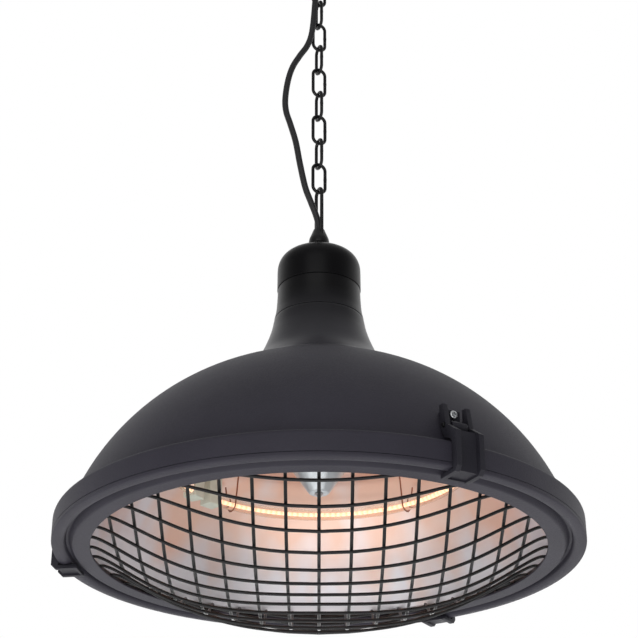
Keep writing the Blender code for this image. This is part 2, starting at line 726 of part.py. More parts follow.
def reflector_profile():
    """Outer skin of the reflector, from its bolt hole out and down to its lip."""
    fall = REFLECTOR_HEIGHT - REFLECTOR_FOOT
    spread = REFLECTOR_FOOT_RADIUS - REFLECTOR_CROWN_RADIUS
    outline = [
        (BOLT_RADIUS + SEAT_GAP, REFLECTOR_HEIGHT),
        (REFLECTOR_CROWN_RADIUS, REFLECTOR_HEIGHT),
    ]
    for across, up in REFLECTOR_SHARES:
        outline.append((REFLECTOR_CROWN_RADIUS + spread * across, REFLECTOR_FOOT + fall * up))
    outline.append((REFLECTOR_FOOT_RADIUS, REFLECTOR_FOOT))
    outline.append((REFLECTOR_LIP_RADIUS, REFLECTOR_FOOT))
    return outline


def under_reflector(radius):
    """Height of the reflector's inner skin at a radius, with its facets allowed for."""
    outline = reflector_profile()
    outer = radius / math.cos(math.pi / BOWL_STEPS)
    height = height_on(outline, outer)
    slope = (height_on(outline, outer + SEAT_GAP) - height) / SEAT_GAP
    return height - REFLECTOR_WALL * math.sqrt(1.0 + slope**2)


def make_reflector():
    reflector = turned(
        "reflector_bowl", reflector_profile(), BOWL_STEPS, ALUMINIUM, wall=REFLECTOR_WALL
    )
    ceiling = REFLECTOR_HEIGHT - REFLECTOR_WALL - SEAT_GAP
    slope = (CONE_TOP_RADIUS - CONE_TIP_RADIUS) / (ceiling - CONE_TIP_HEIGHT)
    thick = CONE_WALL * math.sqrt(1.0 + slope**2)
    profile = [
        (CONE_TOP_RADIUS, ceiling),
        (CONE_TIP_RADIUS, CONE_TIP_HEIGHT),
        (BOLT_RADIUS + SEAT_GAP, CONE_TIP_HEIGHT),
        (BOLT_RADIUS + SEAT_GAP, CONE_TIP_HEIGHT + CONE_WALL),
        (CONE_TIP_RADIUS + CONE_WALL * slope - thick, CONE_TIP_HEIGHT + CONE_WALL),
        (CONE_TOP_RADIUS - thick, ceiling),
    ]
    cone = turned("centre_cone", profile, MEDIUM_STEPS, ALUMINIUM)
    head_top = CONE_TIP_HEIGHT - SEAT_GAP
    nut_bottom = REFLECTOR_HEIGHT + SEAT_GAP
    nut_top = nut_bottom + BOLT_NUT_HEIGHT
    bolt = turned(
        "cone_bolt",
        [
            (0.0, nut_top),
            (BOLT_HEAD_RADIUS, nut_top),
            (BOLT_HEAD_RADIUS, nut_bottom),
            (BOLT_RADIUS, nut_bottom),
            (BOLT_RADIUS, head_top),
            (BOLT_HEAD_RADIUS, head_top),
            (BOLT_HEAD_RADIUS * SCREW_HEAD_SHARE, head_top - BOLT_HEAD_HEIGHT),
            (0.0, head_top - BOLT_HEAD_HEIGHT),
        ],
        PIN_STEPS,
        ZINC,
    )
    return [reflector, cone, bolt]


def make_lamp():
    """Quartz ring, its two ceramic ends and the wire slings that carry it."""
    made = []
    half_gap = (LAMP_END_GAP / 2.0 + LAMP_END_LENGTH) / LAMP_RADIUS
    first = LAMP_GAP_AZIMUTH + half_gap
    sweep = 2.0 * math.pi - 2.0 * half_gap
    shares = [0.0, LAMP_START_SHARE] + [i / LAMP_PIECES for i in range(1, LAMP_PIECES)]
    shares += [1.0 - LAMP_START_SHARE, 1.0]
    ring = []
    for share in shares:
        angle = first + sweep * share
        ring.append((LAMP_RADIUS * math.cos(angle), LAMP_RADIUS * math.sin(angle), LAMP_HEIGHT))
    tube = wire_curve("lamp_tube", ring, LAMP_TUBE_RADIUS)
    made.append(place(tube, QUARTZ))
    outer_edge = LAMP_RADIUS + LAMP_END_WIDTH / 2.0
    top = under_reflector(math.hypot(outer_edge, LAMP_END_LENGTH)) - SEAT_GAP
    for name, side in (("lamp_end_left", 1.0), ("lamp_end_right", -1.0)):
        bm = bmesh.new()
        near = -side * (SEAT_GAP + SEAT_GAP / 2.0)
        far = near - side * LAMP_END_LENGTH
        add_box(
            bm,
            (LAMP_RADIUS - LAMP_END_WIDTH / 2.0, min(near, far), LAMP_HEIGHT - LAMP_END_BELOW),
            (outer_edge, max(near, far), top),
        )
        end = object_from_bmesh(name, bm)
        end.rotation_euler.z = LAMP_GAP_AZIMUTH + side * half_gap
        made.append(place(end, CERAMIC))
    hug = LAMP_TUBE_RADIUS + SLING_WIRE_RADIUS + SEAT_GAP
    for number, azimuth in enumerate(SLING_AZIMUTHS, 1):
        run = []
        for side in (-1.0, 1.0):
            foot_radius = LAMP_RADIUS + side * SLING_SPREAD
            foot = under_reflector(foot_radius + SLING_WIRE_RADIUS) - SEAT_GAP
            leg = [(foot_radius, 0.0, foot), (LAMP_RADIUS + side * hug, 0.0, LAMP_HEIGHT)]
            run.append(leg)
        below = []
        for i in range(1, BOW_PIECES):
            angle = math.pi + math.pi * i / BOW_PIECES
            across = LAMP_RADIUS + hug * math.cos(angle)
            below.append((across, 0.0, LAMP_HEIGHT + hug * math.sin(angle)))
        points = run[0] + below + list(reversed(run[1]))
        sling = wire_curve(f"lamp_sling_{number}", points, SLING_WIRE_RADIUS, resolution=0)
        sling.rotation_euler.z = azimuth
        made.append(place(sling, ZINC))
    return made


def make_inner_frame():
    """Clamp plate under the shade's flat top, with rods up to the cap and posts down."""
    made = []
    plate_top = SHADE_TOP - SHADE_WALL - SEAT_GAP
    plate_bottom = plate_top - PLATE_THICKNESS
    rods = on_circle(ROD_CIRCLE_RADIUS, [math.radians(a) for a in (30.0, 150.0, 270.0)])
    posts = on_circle(POST_CIRCLE_RADIUS, [math.radians(a) for a in (90.0, 210.0, 330.0)])
    plate = turned(
        "shade_clamp_plate",
        [
            (PLATE_RADIUS, plate_top),
            (PLATE_RADIUS, plate_bottom),
            (PLATE_HOLE_RADIUS, plate_bottom),
            (PLATE_HOLE_RADIUS, plate_top),
        ],
        MEDIUM_STEPS,
        ZINC,
    )
    rod_clear = ROD_RADIUS + SCREW_CLEARANCE
    cut_holes(
        plate,
        "plate_rod_holes",
        [(rod_clear, plate_bottom - OVERRUN, plate_top + OVERRUN, place_) for place_ in rods],
    )
    made.append(plate)
    head_top = plate_bottom - SEAT_GAP
    rod_top = CAP_SHOULDER + BOSS_BURY + ROD_TOP_SHORT
    for number, centre in enumerate(rods, 1):
        rod = turned(
            f"tie_rod_{number}",
            [
                (0.0, rod_top),
                (ROD_RADIUS, rod_top),
                (ROD_RADIUS, head_top),
                (ROD_HEAD_RADIUS, head_top),
                (ROD_HEAD_RADIUS, head_top - ROD_HEAD_HEIGHT),
                (0.0, head_top - ROD_HEAD_HEIGHT),
            ],
            PIN_STEPS,
            ZINC,
        )
        rod.location.x, rod.location.y = centre
        made.append(rod)
    post_bottom = REFLECTOR_HEIGHT + SEAT_GAP
    shield_bottom = REFLECTOR_HEIGHT + SHIELD_HEIGHT
    for number, centre in enumerate(posts, 1):
        post = turned(
            f"reflector_post_{number}",
            [
                (0.0, plate_bottom - SEAT_GAP),
                (POST_NECK_RADIUS, plate_bottom - SEAT_GAP),
                (POST_NECK_RADIUS, shield_bottom - SEAT_GAP),
                (POST_RADIUS, shield_bottom - SEAT_GAP),
                (POST_RADIUS, post_bottom),
                (0.0, post_bottom),
            ],
            PIN_STEPS,
            ZINC,
        )
        post.location.x, post.location.y = centre
        made.append(post)
    shield_top = shield_bottom + SHIELD_THICKNESS
    shield = turned(
        "heat_shield",
        [
            (SHIELD_RADIUS, shield_top),
            (SHIELD_RADIUS, shield_bottom),
            (SHIELD_HOLE_RADIUS, shield_bottom),
            (SHIELD_HOLE_RADIUS, shield_top),
        ],
        MEDIUM_STEPS,
        ALUMINIUM,
    )
    neck_clear = POST_NECK_RADIUS + SCREW_CLEARANCE
    cut_holes(
        shield,
        "shield_post_holes",
        [(neck_clear, shield_bottom - OVERRUN, shield_top + OVERRUN, place_) for place_ in posts],
    )
    made.append(shield)
    return made, rods


def bell_profile():
    """Outer skin of the bell, flaring from the band down to its foot."""
    spread = BELL_FOOT_RADIUS - BELL_TOP_RADIUS
    rim = BELL_TOP_RADIUS - BAND_CHAMFER
    outline = [(rim, BELL_TOP)]
    for out, up in BELL_FLARE_SHARES:
        height = BELL_BOTTOM + (BELL_HEIGHT - BAND_CHAMFER) * up
        outline.append((BELL_TOP_RADIUS + spread * out, height))
    outline.append((BELL_FOOT_RADIUS, BELL_BOTTOM + BELL_HEIGHT * BELL_EDGE_SHARE))
    outline.append((BELL_FOOT_RADIUS, BELL_BOTTOM))
    return outline


def band_profile(floor_top):
    """Band outline: outside down from its top, flaring to its foot, then its floor and bore."""
    inner = BAND_RADIUS - NECK_WALL
    spread = BAND_FOOT_RADIUS - BAND_RADIUS
    outline = [(BAND_RADIUS - BAND_CHAMFER, BAND_TOP)]
    for out, up in BAND_FLARE_SHARES:
        height = BAND_BOTTOM + BAND_CHAMFER + (BAND_HEIGHT - 2.0 * BAND_CHAMFER) * up
        outline.append((BAND_RADIUS + spread * out, height))
    outline += [
        (BAND_FOOT_RADIUS - BAND_CHAMFER, BAND_BOTTOM),
        (WIRE_PASSAGE_RADIUS, BAND_BOTTOM),
        (WIRE_PASSAGE_RADIUS, floor_top),
        (inner, floor_top),
        (inner, BAND_TOP),
    ]
    return outline


def cap_profile():
    """Outer skin of the cap: a full crown over an upright skirt."""
    outline = []
    first = math.acos((STEM_CLEAR_RADIUS / CAP_RADIUS) ** (1.0 / CROWN_POWER_SHARE))
    for i in range(CROWN_PIECES + 1):
        angle = first * (1.0 - i / CROWN_PIECES)
        across = CAP_RADIUS * max(math.cos(angle), 0.0) ** CROWN_POWER_SHARE
        up = CAP_CROWN_HEIGHT * math.sin(angle) ** CROWN_POWER_SHARE
        outline.append((across, CAP_SHOULDER + up))
    outline.append((CAP_RADIUS, CAP_BOTTOM + BAND_CHAMFER))
    outline.append((CAP_RADIUS - BAND_CHAMFER, CAP_BOTTOM))
    return outline


def make_neck(rods):
    made = []
    bell = turned("neck_bell", bell_profile(), MEDIUM_STEPS, BLACK_PLASTIC, wall=NECK_WALL)
    made.append(bell)
    floor_top = BAND_BOTTOM + BAND_FLOOR
    band = turned("neck_band", band_profile(floor_top), MEDIUM_STEPS, BLACK_PLASTIC)
    clear = ROD_RADIUS + SCREW_CLEARANCE
    cut_holes(
        band,
        "band_rod_holes",
        [(clear, BAND_BOTTOM - OVERRUN, floor_top + OVERRUN, place_) for place_ in rods],
    )
    made.append(band)
    cap = turned("neck_cap", cap_profile(), MEDIUM_STEPS, BLACK_PLASTIC, wall=NECK_WALL)
    boss_top = CAP_SHOULDER + CAP_CROWN_HEIGHT - BOSS_BURY
    bm = bmesh.new()
    for centre in rods:
        add_cylinder(bm, BOSS_RADIUS, boss_top - BOSS_LENGTH, boss_top, centre, PIN_STEPS)
    bosses = object_from_bmesh("cap_bosses", bm)
    bosses.location.z = RIM_LEVEL
    boolean(cap, bosses, "UNION")
    rod_top = CAP_SHOULDER + BOSS_BURY + ROD_TOP_SHORT
    cut_holes(
        cap,
        "cap_rod_holes",
        [(clear, boss_top - BOSS_LENGTH - OVERRUN, rod_top + SEAT_GAP, place_) for place_ in rods],
    )
    made.append(cap)
    bm = bmesh.new()
    wide, deep = TERMINAL_SIZE
    block_top = CORD_ROUTE[0][2] - SEAT_GAP
    add_box(
        bm,
        (-wide / 2.0, -deep / 2.0, floor_top + SEAT_GAP),
        (wide / 2.0, deep / 2.0, block_top),
    )
    made.append(place(object_from_bmesh("terminal_block", bm), WHITE_PLASTIC))
    return made


def collar_profile(radius, bore, bottom, top, chamfer=0.0):
    """Outline of a plain collar with a bore, its upper edge chamfered where a chamfer is given."""
    edge = [(radius - chamfer, top), (radius, top - chamfer)] if chamfer else [(radius, top)]
    return edge + [(radius, bottom), (bore, bottom), (bore, top)]


def make_suspension():
    """Stem through the cap, held by a lock nut below and by the cone nut above."""
    made = []
    stem_top = CONE_NUT_BOTTOM + STEM_ENGAGEMENT
    stem_bottom = CAP_TOP - STEM_HANG
    profile = collar_profile(STEM_RADIUS, STEM_BORE_RADIUS, stem_bottom, stem_top)
    made.append(turned("hollow_stem", profile, SMALL_STEPS, BLACK_STEEL))
    nut_top = CAP_TOP - NECK_WALL - OVERRUN / 2.0
    nut_radius = LOCK_NUT_ACROSS_CORNERS / 2.0
    bm = bmesh.new()
    add_cylinder(bm, nut_radius, nut_top - LOCK_NUT_HEIGHT, nut_top, segments=6)
    lock_nut = place(object_from_bmesh("stem_lock_nut", bm), ZINC)
    hole_bottom = nut_top - LOCK_NUT_HEIGHT - OVERRUN
    bore = (STEM_CLEAR_RADIUS, hole_bottom, nut_top + OVERRUN, (0.0, 0.0))
    cut_holes(lock_nut, "lock_nut_bore", [bore])
    made.append(lock_nut)
    profile = collar_profile(
        WASHER_RADIUS, STEM_CLEAR_RADIUS, WASHER_BOTTOM, WASHER_TOP, BAND_CHAMFER
    )
    made.append(turned("gland_washer", profile, SMALL_STEPS, BLACK_PLASTIC))
    profile = collar_profile(SEAL_RADIUS, STEM_CLEAR_RADIUS, SEAL_BOTTOM, SEAL_TOP, BAND_CHAMFER)
    made.append(turned("gland_seal", profile, SMALL_STEPS, RUBBER))
    cone_height = CONE_NUT_HEIGHT - CONE_NUT_SKIRT
    outline = []
    for up, out in reversed(CONE_NUT_SHARES):
        radius = CONE_NUT_TOP_RADIUS + (CONE_NUT_RADIUS - CONE_NUT_TOP_RADIUS) * out
        outline.append((radius, CONE_NUT_BOTTOM + CONE_NUT_SKIRT + cone_height * up))
    counterbore = CONE_NUT_BOTTOM + STEM_ENGAGEMENT + SEAT_GAP
    bore = CORD_RADIUS + CORD_CLEARANCE
    outline += [
        (CONE_NUT_RADIUS, CONE_NUT_BOTTOM),
        (STEM_CLEAR_RADIUS, CONE_NUT_BOTTOM),
        (STEM_CLEAR_RADIUS, counterbore),
        (bore, counterbore),
        (bore, CONE_NUT_TOP),
    ]
    cone_nut = turned("gland_cone_nut", outline, SMALL_STEPS, BLACK_STEEL)
    legs = [NARROW * LOOP_BOW_RADIUS, NARROW * -LOOP_BOW_RADIUS]
    socket_floor = CONE_NUT_BOTTOM + CONE_NUT_FLOOR
    socket_radius = LOOP_WIRE_RADIUS + SEAT_GAP
    cut_holes(
        cone_nut,
        "loop_sockets",
        [(socket_radius, socket_floor, CONE_NUT_TOP + OVERRUN, (leg.x, leg.y)) for leg in legs],
    )
    made.append(cone_nut)
    return made


def make_loop():
    """Wire loop whose legs stand in the cone nut and straddle the cord."""
    bow_centre = LOOP_INNER_TOP + LOOP_WIRE_RADIUS - LOOP_BOW_RADIUS
    leg_bottom = CONE_NUT_BOTTOM + CONE_NUT_FLOOR + SEAT_GAP
    run = [(LOOP_BOW_RADIUS, leg_bottom)]
    for i in range(BOW_PIECES + 1):
        angle = math.pi * i / BOW_PIECES
        height = bow_centre + LOOP_BOW_RADIUS * math.sin(angle)
        run.append((LOOP_BOW_RADIUS * math.cos(angle), height))
    run.append((-LOOP_BOW_RADIUS, leg_bottom))
    points = [NARROW * across + Vector((0.0, 0.0, up)) for across, up in run]
    loop = wire_curve("suspension_loop", points, LOOP_WIRE_RADIUS, resolution=2)
    return place(loop, BLACK_STEEL)


def link_seat(number):
    """Height above the rim of the wire centre that carries link number, counted from the top."""
    if number == 1:
        return HOOK_SEAT - HOOK_WIRE_RADIUS
    return HOOK_SEAT - (number - 1) * LINK_PITCH - LINK_WIRE_RADIUS


def make_link(number):
    """One long link; odd links from the top stand edge-on and even ones flat-on."""
    across_direction = NARROW if number % 2 else WIDE
    inner_top = HOOK_SEAT + SEAT_GAP - (number - 1) * LINK_PITCH
    upper_bow = inner_top + LINK_WIRE_RADIUS - LINK_BOW_RADIUS
    lower_bow = inner_top - LINK_INNER_LENGTH - LINK_WIRE_RADIUS + LINK_BOW_RADIUS
    seat = link_seat(number)
    points = []
    for centre, start in ((upper_bow, 0.0), (lower_bow, math.pi)):
        for i in range(BOW_PIECES + 1):
            angle = start + math.pi * i / BOW_PIECES
            across = LINK_BOW_RADIUS * math.cos(angle)
            height = centre + LINK_BOW_RADIUS * math.sin(angle) - seat
            points.append(across_direction * across + Vector((0.0, 0.0, height)))
    link = wire_curve(
        f"chain_link_{number:02d}", points, LINK_WIRE_RADIUS, cyclic=True, resolution=1
    )
    return place(link, BLACK_STEEL, level=RIM_LEVEL + seat)


def make_hook():
    """Open hook: a shank up into the plate's boss and a bow under the canopy."""
    bow_centre = HOOK_SEAT - HOOK_WIRE_RADIUS + HOOK_BOW_RADIUS
    shank_top = CANOPY_BOTTOM + CANOPY_HEIGHT - CANOPY_PLATE - SEAT_GAP
    shank_bottom = bow_centre + HOOK_BOW_RADIUS + HOOK_WIRE_RADIUS
    run = [(0.0, shank_top), (0.0, shank_bottom)]
    for i in range(HOOK_PIECES + 1):
        angle = HOOK_START_ANGLE - (HOOK_START_ANGLE + HOOK_OPEN_ANGLE) * i / HOOK_PIECES
        run.append(
            (HOOK_BOW_RADIUS * math.cos(angle), bow_centre + HOOK_BOW_RADIUS * math.sin(angle))
        )
    points = [WIDE * across + Vector((0.0, 0.0, up)) for across, up in run]
    return place(wire_curve("canopy_hook", points, HOOK_WIRE_RADIUS), BLACK_STEEL)


def make_canopy():
    made = []
    top = CANOPY_BOTTOM + CANOPY_HEIGHT
    gland_at = CORD_ROUTE[-1][:2]
    posts = [(CANOPY_POST_DISTANCE, 0.0), (-CANOPY_POST_DISTANCE, 0.0)]
    floor_top = CANOPY_BOTTOM + CANOPY_WALL
    plate_radius = CANOPY_RADIUS - CANOPY_WALL - CANOPY_PLATE_CLEARANCE
    plate_bottom = top - CANOPY_PLATE
    boss_bottom = top - CANOPY_BOSS_DEPTH
    shank_clear = HOOK_WIRE_RADIUS + SEAT_GAP
    plate = turned(
        "canopy_plate",
        [
            (0.0, top),
            (plate_radius, top),
            (plate_radius, plate_bottom),
            (CANOPY_BOSS_RADIUS, plate_bottom),
            (CANOPY_BOSS_RADIUS, boss_bottom),
            (shank_clear, boss_bottom),
            (shank_clear, plate_bottom),
            (0.0, plate_bottom),
        ],
        MEDIUM_STEPS,
        ZINC,
    )
    bm = bmesh.new()
    post_bottom = floor_top + SEAT_GAP
    for centre in posts:
        post_top = plate_bottom + CANOPY_PLATE / 2.0
        add_cylinder(bm, CANOPY_POST_RADIUS, post_bottom, post_top, centre, PIN_STEPS)
    stands = object_from_bmesh("canopy_posts", bm)
    stands.location.z = RIM_LEVEL
    boolean(plate, stands, "UNION")
    screw_clear = CANOPY_SCREW_RADIUS + SCREW_CLEARANCE
    screw_top = CANOPY_BOTTOM - SEAT_GAP + CANOPY_SCREW_LENGTH
    fixings = [(0.0, CANOPY_FIXING_DISTANCE), (0.0, -CANOPY_FIXING_DISTANCE)]
    holes = [(screw_clear, post_bottom - OVERRUN, screw_top + SEAT_GAP, c) for c in posts]
    holes += [(CANOPY_FIXING_RADIUS, plate_bottom - OVERRUN, top + OVERRUN, c) for c in fixings]
    cut_holes(plate, "canopy_plate_holes", holes)
    made.append(plate)
    corner = CANOPY_CORNER
    outline = [(CANOPY_RADIUS, top)]
    for i in range(CANOPY_CORNER_PIECES + 1):
        angle = math.pi / 2.0 * i / CANOPY_CORNER_PIECES
        across = CANOPY_RADIUS - corner + corner * math.cos(angle)
        outline.append((across, CANOPY_BOTTOM + corner - corner * math.sin(angle)))
    outline.append((shank_clear + CANOPY_WALL, CANOPY_BOTTOM))
    cup = turned("canopy_cup", outline, MEDIUM_STEPS, BLACK_PLASTIC, wall=CANOPY_WALL)
    neck_clear = CANOPY_GLAND_NECK_RADIUS + SEAT_GAP
    low, high = CANOPY_BOTTOM - OVERRUN, floor_top + OVERRUN
    holes = [(screw_clear, low, high, centre) for centre in posts]
    cut_holes(cup, "canopy_cup_holes", holes + [(neck_clear, low, high, gland_at)])
    made.append(cup)
    head_top = CANOPY_BOTTOM - SEAT_GAP
    for number, centre in enumerate(posts, 1):
        screw = turned(
            f"canopy_screw_{number}",
            [
                (0.0, screw_top),
                (CANOPY_SCREW_RADIUS, screw_top),
                (CANOPY_SCREW_RADIUS, head_top),
                (CANOPY_SCREW_HEAD_RADIUS, head_top),
                (CANOPY_SCREW_HEAD_RADIUS * SCREW_HEAD_SHARE, head_top - CANOPY_SCREW_HEAD_HEIGHT),
                (0.0, head_top - CANOPY_SCREW_HEAD_HEIGHT),
            ],
            PIN_STEPS,
            ZINC,
        )
        screw.location.x, screw.location.y = centre
        made.append(screw)
    bore = CORD_RADIUS + CORD_CLEARANCE
    nose = CANOPY_BOTTOM - SEAT_GAP - CANOPY_GLAND_FLANGE
    flange_above = floor_top + SEAT_GAP
    gland = turned(
        "canopy_gland",
        [
            (CANOPY_GLAND_RADIUS, flange_above + CANOPY_GLAND_FLANGE),
            (CANOPY_GLAND_RADIUS, flange_above),
            (CANOPY_GLAND_NECK_RADIUS, flange_above),
            (CANOPY_GLAND_NECK_RADIUS, CANOPY_BOTTOM - SEAT_GAP),
            (CANOPY_GLAND_RADIUS, CANOPY_BOTTOM - SEAT_GAP),
            (CANOPY_GLAND_RADIUS, nose),
            (bore + CANOPY_GLAND_FLANGE / 2.0, nose - CANOPY_GLAND_NOSE),
            (bore, nose - CANOPY_GLAND_NOSE),
            (bore, flange_above + CANOPY_GLAND_FLANGE),
        ],
        SMALL_STEPS,
        RUBBER,
    )
    gland.location.x, gland.location.y = gland_at
    made.append(gland)
    wide, deep, tall = CANOPY_BLOCK_SIZE
    block_bottom = CORD_ROUTE[-1][2] + SEAT_GAP
    bm = bmesh.new()
    add_box(
        bm,
        (gland_at[0] - wide / 2.0, gland_at[1] - deep / 2.0, block_bottom),
        (gland_at[0] + wide / 2.0, gland_at[1] + deep / 2.0, block_bottom + tall),
    )
    made.append(place(object_from_bmesh("canopy_terminal_block", bm), WHITE_PLASTIC))
    return made


def make_cord():
    points, length = smooth_route(CORD_ROUTE, CORD_STEP)
    cord = wire_curve("power_cord", points, CORD_RADIUS, resolution=2)
    print(f"power cord: {length:.4f} m in {len(points)} points")
    return place(cord, RUBBER)


def lug_profile(pin):
    """Side view of the lug: its back lies on the shade and its nose goes round the pin."""
    top_back = shade_radius(LUG_TOP_HEIGHT) * FACET_SHARE
    low_back = shade_radius(LUG_BOTTOM_HEIGHT) * FACET_SHARE
    run = Vector((low_back - top_back, LUG_BOTTOM_HEIGHT - LUG_TOP_HEIGHT)).normalized()
    out = Vector((-run.y, run.x)) * SEAT_GAP
    top = Vector((top_back, LUG_TOP_HEIGHT)) + out + run * SEAT_GAP
    low = Vector((low_back, LUG_BOTTOM_HEIGHT)) + out - run * SEAT_GAP
    outline = [tuple(low), tuple(top), (LUG_FACE_RADIAL, top.y)]
    outline.append((LUG_FACE_RADIAL, LUG_FACE_FOOT_HEIGHT))
    for i in range(LUG_NOSE_PIECES + 1):
        angle = LUG_NOSE_START - LUG_NOSE_SWEEP * i / LUG_NOSE_PIECES
        across = pin.x + LUG_NOSE_RADIUS * math.cos(angle)
        outline.append((across, pin.y + LUG_NOSE_RADIUS * math.sin(angle)))
    return outline


def arm_profiles(pin):
    """Side views of the arm: one rail with its prong and foot, and the recessed strip between."""
    web_back = RIM_RADIUS + ARM_COLLAR_GAP
    web_front = web_back + ARM_SHEET
    rail_front = web_front + RAIL_PROUD
    foot_top = -SEAT_GAP - LIP_DEPTH - FOOT_CLEARANCE
    rail_bottom = foot_top - RAIL_FOOT_DEPTH
    foot_tip = RIM_RADIUS - FOOT_REACH
    prong_top = pin.y + PRONG_HEIGHT
    rail = [
        (pin.x - PRONG_TIP_BEHIND_PIN, prong_top),
        (pin.x + PRONG_BEFORE_PIN, pin.y),
        (rail_front, KNEE_HEIGHT),
        (rail_front, rail_bottom + RAIL_CORNER),
        (rail_front - RAIL_CORNER, rail_bottom),
        (foot_tip, rail_bottom),
        (foot_tip, foot_top),
        (web_back, foot_top),
        (web_back, COLLAR_HEIGHT - COLLAR_ROUND / 2.0),
        (web_back - COLLAR_ROUND / 2.0, COLLAR_HEIGHT + COLLAR_CLEARANCE),
        (RIM_RADIUS - KNEE_BACK_INSET, COLLAR_HEIGHT + KNEE_BACK_RISE),
        (pin.x - PRONG_BEHIND_PIN, pin.y),
        (pin.x - PRONG_BEHIND_PIN, prong_top),
    ]
    back = web_back + ARM_STRIP_INSET
    top = foot_top - ARM_STRIP_INSET
    tip = foot_tip + ARM_STRIP_INSET
    strip = [
        (web_front, WEB_TOP_HEIGHT),
        (web_front, foot_top - ARM_SHEET),
        (tip + FOOT_RIM, foot_top - ARM_SHEET),
        (tip + FOOT_RIM, rail_bottom + ARM_STRIP_INSET),
        (tip, rail_bottom + ARM_STRIP_INSET),
        (tip, top),
        (back, top),
        (back, WEB_TOP_HEIGHT),
    ]
    return rail, strip


def make_clamp(number, azimuth):
    """One clamp: a lug with its screw on the shade, and an arm that swings on the lug's pin."""
    pin = Vector((CLAMP_PIN_RADIAL, CLAMP_PIN_HEIGHT))
    stand = Matrix.Rotation(math.pi / 2.0, 4, "X")
    across = Matrix.Translation((pin.x, 0.0, pin.y)) @ stand
    level = Matrix.Translation((0.0, 0.0, CLAMP_SCREW_HEIGHT))
    screw_axis = level @ Matrix.Rotation(math.pi / 2.0, 4, "Y")

    lug_mesh = welded_mesh(outline_curve("lug", lug_profile(pin), LUG_WIDTH))
    lug_mesh.transform(stand)
    lug = place(bpy.data.objects.new(f"clamp_lug_{number}", lug_mesh), CHARCOAL)
    screw_tip = LUG_FACE_RADIAL - CLAMP_SCREW_LENGTH
    slot_side = LUG_SLOT_WIDTH / 2.0
    slot_front = pin.x + OVERRUN
    bm = bmesh.new()
    reach = (ARM_WIDTH + OVERRUN) / 2.0
    add_cylinder(bm, CLAMP_PIN_RADIUS + RUNNING_CLEARANCE, -reach, reach, turn=across)
    pin_hole = object_from_bmesh(f"pin_hole_{number}", bm)
    bm = bmesh.new()
    add_cylinder(
        bm,
        CLAMP_SCREW_RADIUS + SCREW_CLEARANCE,
        screw_tip - SEAT_GAP,
        LUG_FACE_RADIAL + OVERRUN,
        turn=screw_axis,
        segments=PIN_STEPS,
    )
    add_box(
        bm,
        (LUG_FACE_RADIAL - LUG_SLOT_DEPTH, -slot_side, LUG_SLOT_BOTTOM_HEIGHT),
        (slot_front, slot_side, LUG_SLOT_TOP_HEIGHT),
    )
    lug_cuts = object_from_bmesh(f"lug_cuts_{number}", bm)

    bm = bmesh.new()
    half_pin = CLAMP_PIN_LENGTH / 2.0
    add_cylinder(bm, CLAMP_PIN_RADIUS, -half_pin, half_pin, turn=across, segments=PIN_STEPS)
    clamp_pin = place(object_from_bmesh(f"clamp_pin_{number}", bm), BLACK_STEEL)

    rail_profile, strip_profile = arm_profiles(pin)
    rail_mesh = welded_mesh(outline_curve("rail", rail_profile, RAIL_WIDTH))
    strip_mesh = welded_mesh(outline_curve("strip", strip_profile, ARM_WIDTH - RAIL_WIDTH))
    strip_mesh.transform(stand)
    arm = place(bpy.data.objects.new(f"clamp_arm_{number}", strip_mesh), CHARCOAL)
    bm = bmesh.new()
    for side in (-1.0, 1.0):
        shift = Matrix.Translation((0.0, side * (ARM_WIDTH - RAIL_WIDTH) / 2.0, 0.0))
        add_mesh(bm, rail_mesh, shift @ stand)
    rails = object_from_bmesh(f"rails_{number}", bm)

    head_back = LUG_FACE_RADIAL + SEAT_GAP
    head_front = head_back + CLAMP_SCREW_HEAD_HEIGHT
    profile = [
        (0.0, head_front),
        (CLAMP_SCREW_HEAD_RADIUS * SCREW_HEAD_SHARE, head_front),
        (CLAMP_SCREW_HEAD_RADIUS, head_front - CLAMP_SCREW_HEAD_HEIGHT / 2.0),
        (CLAMP_SCREW_HEAD_RADIUS, head_back),
        (CLAMP_SCREW_RADIUS, head_back),
        (CLAMP_SCREW_RADIUS, screw_tip),
        (0.0, screw_tip),
    ]
    screw = turned(f"clamp_screw_{number}", profile, PIN_STEPS, ZINC, level=0.0)
    turn = Matrix.Rotation(azimuth, 4, "Z")
    lift = Matrix.Translation((0.0, 0.0, RIM_LEVEL))
    screw.matrix_world = lift @ turn @ screw_axis
    boolean(lug, pin_hole, "DIFFERENCE")
    boolean(lug, lug_cuts, "DIFFERENCE")
    boolean(arm, rails, "UNION")
    boolean(arm, pin_hole, "DIFFERENCE")
    for obj in (lug, pin_hole, lug_cuts, clamp_pin, arm, rails):
        obj.matrix_world = lift @ turn
    pivot = turn @ Vector((pin.x, 0.0, pin.y))
    pivot.z += RIM_LEVEL
    return [lug, screw], [arm, clamp_pin], pivot


def build():
    frame, rods = make_inner_frame()
    heater = [make_shade(), make_rim_ring(), make_grille(), make_loop()]
    heater += frame + make_neck(rods) + make_suspension() + make_reflector() + make_lamp()
    clamps = []
    for number, azimuth in enumerate(CLAMP_AZIMUTHS, 1):
        fixed, swinging, pivot = make_clamp(number, azimuth)
        heater += fixed
        clamps.append((number, swinging, pivot))
    make_canopy()
    make_hook()
    make_cord()
    for number in range(1, LINK_COUNT + 1):
        make_link(number)
    hinge = Vector((0.0, 0.0, RIM_LEVEL + link_seat(LINK_COUNT + 1)))
    heater_pivot = hang_under(heater, "heater_pivot", hinge)
    for number, swinging, pivot in clamps:
        hang_under(swinging, f"clamp_pivot_{number}", pivot, heater_pivot)


build()
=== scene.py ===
"""Finished surfaces, materials, light and camera for a hanging patio heater.

All lengths are in metres and +Z is up. Heights of the heater's own pieces are given above its
rim plane, which is the lower edge of the shade's collar, and RIM_LEVEL places that plane.
"""

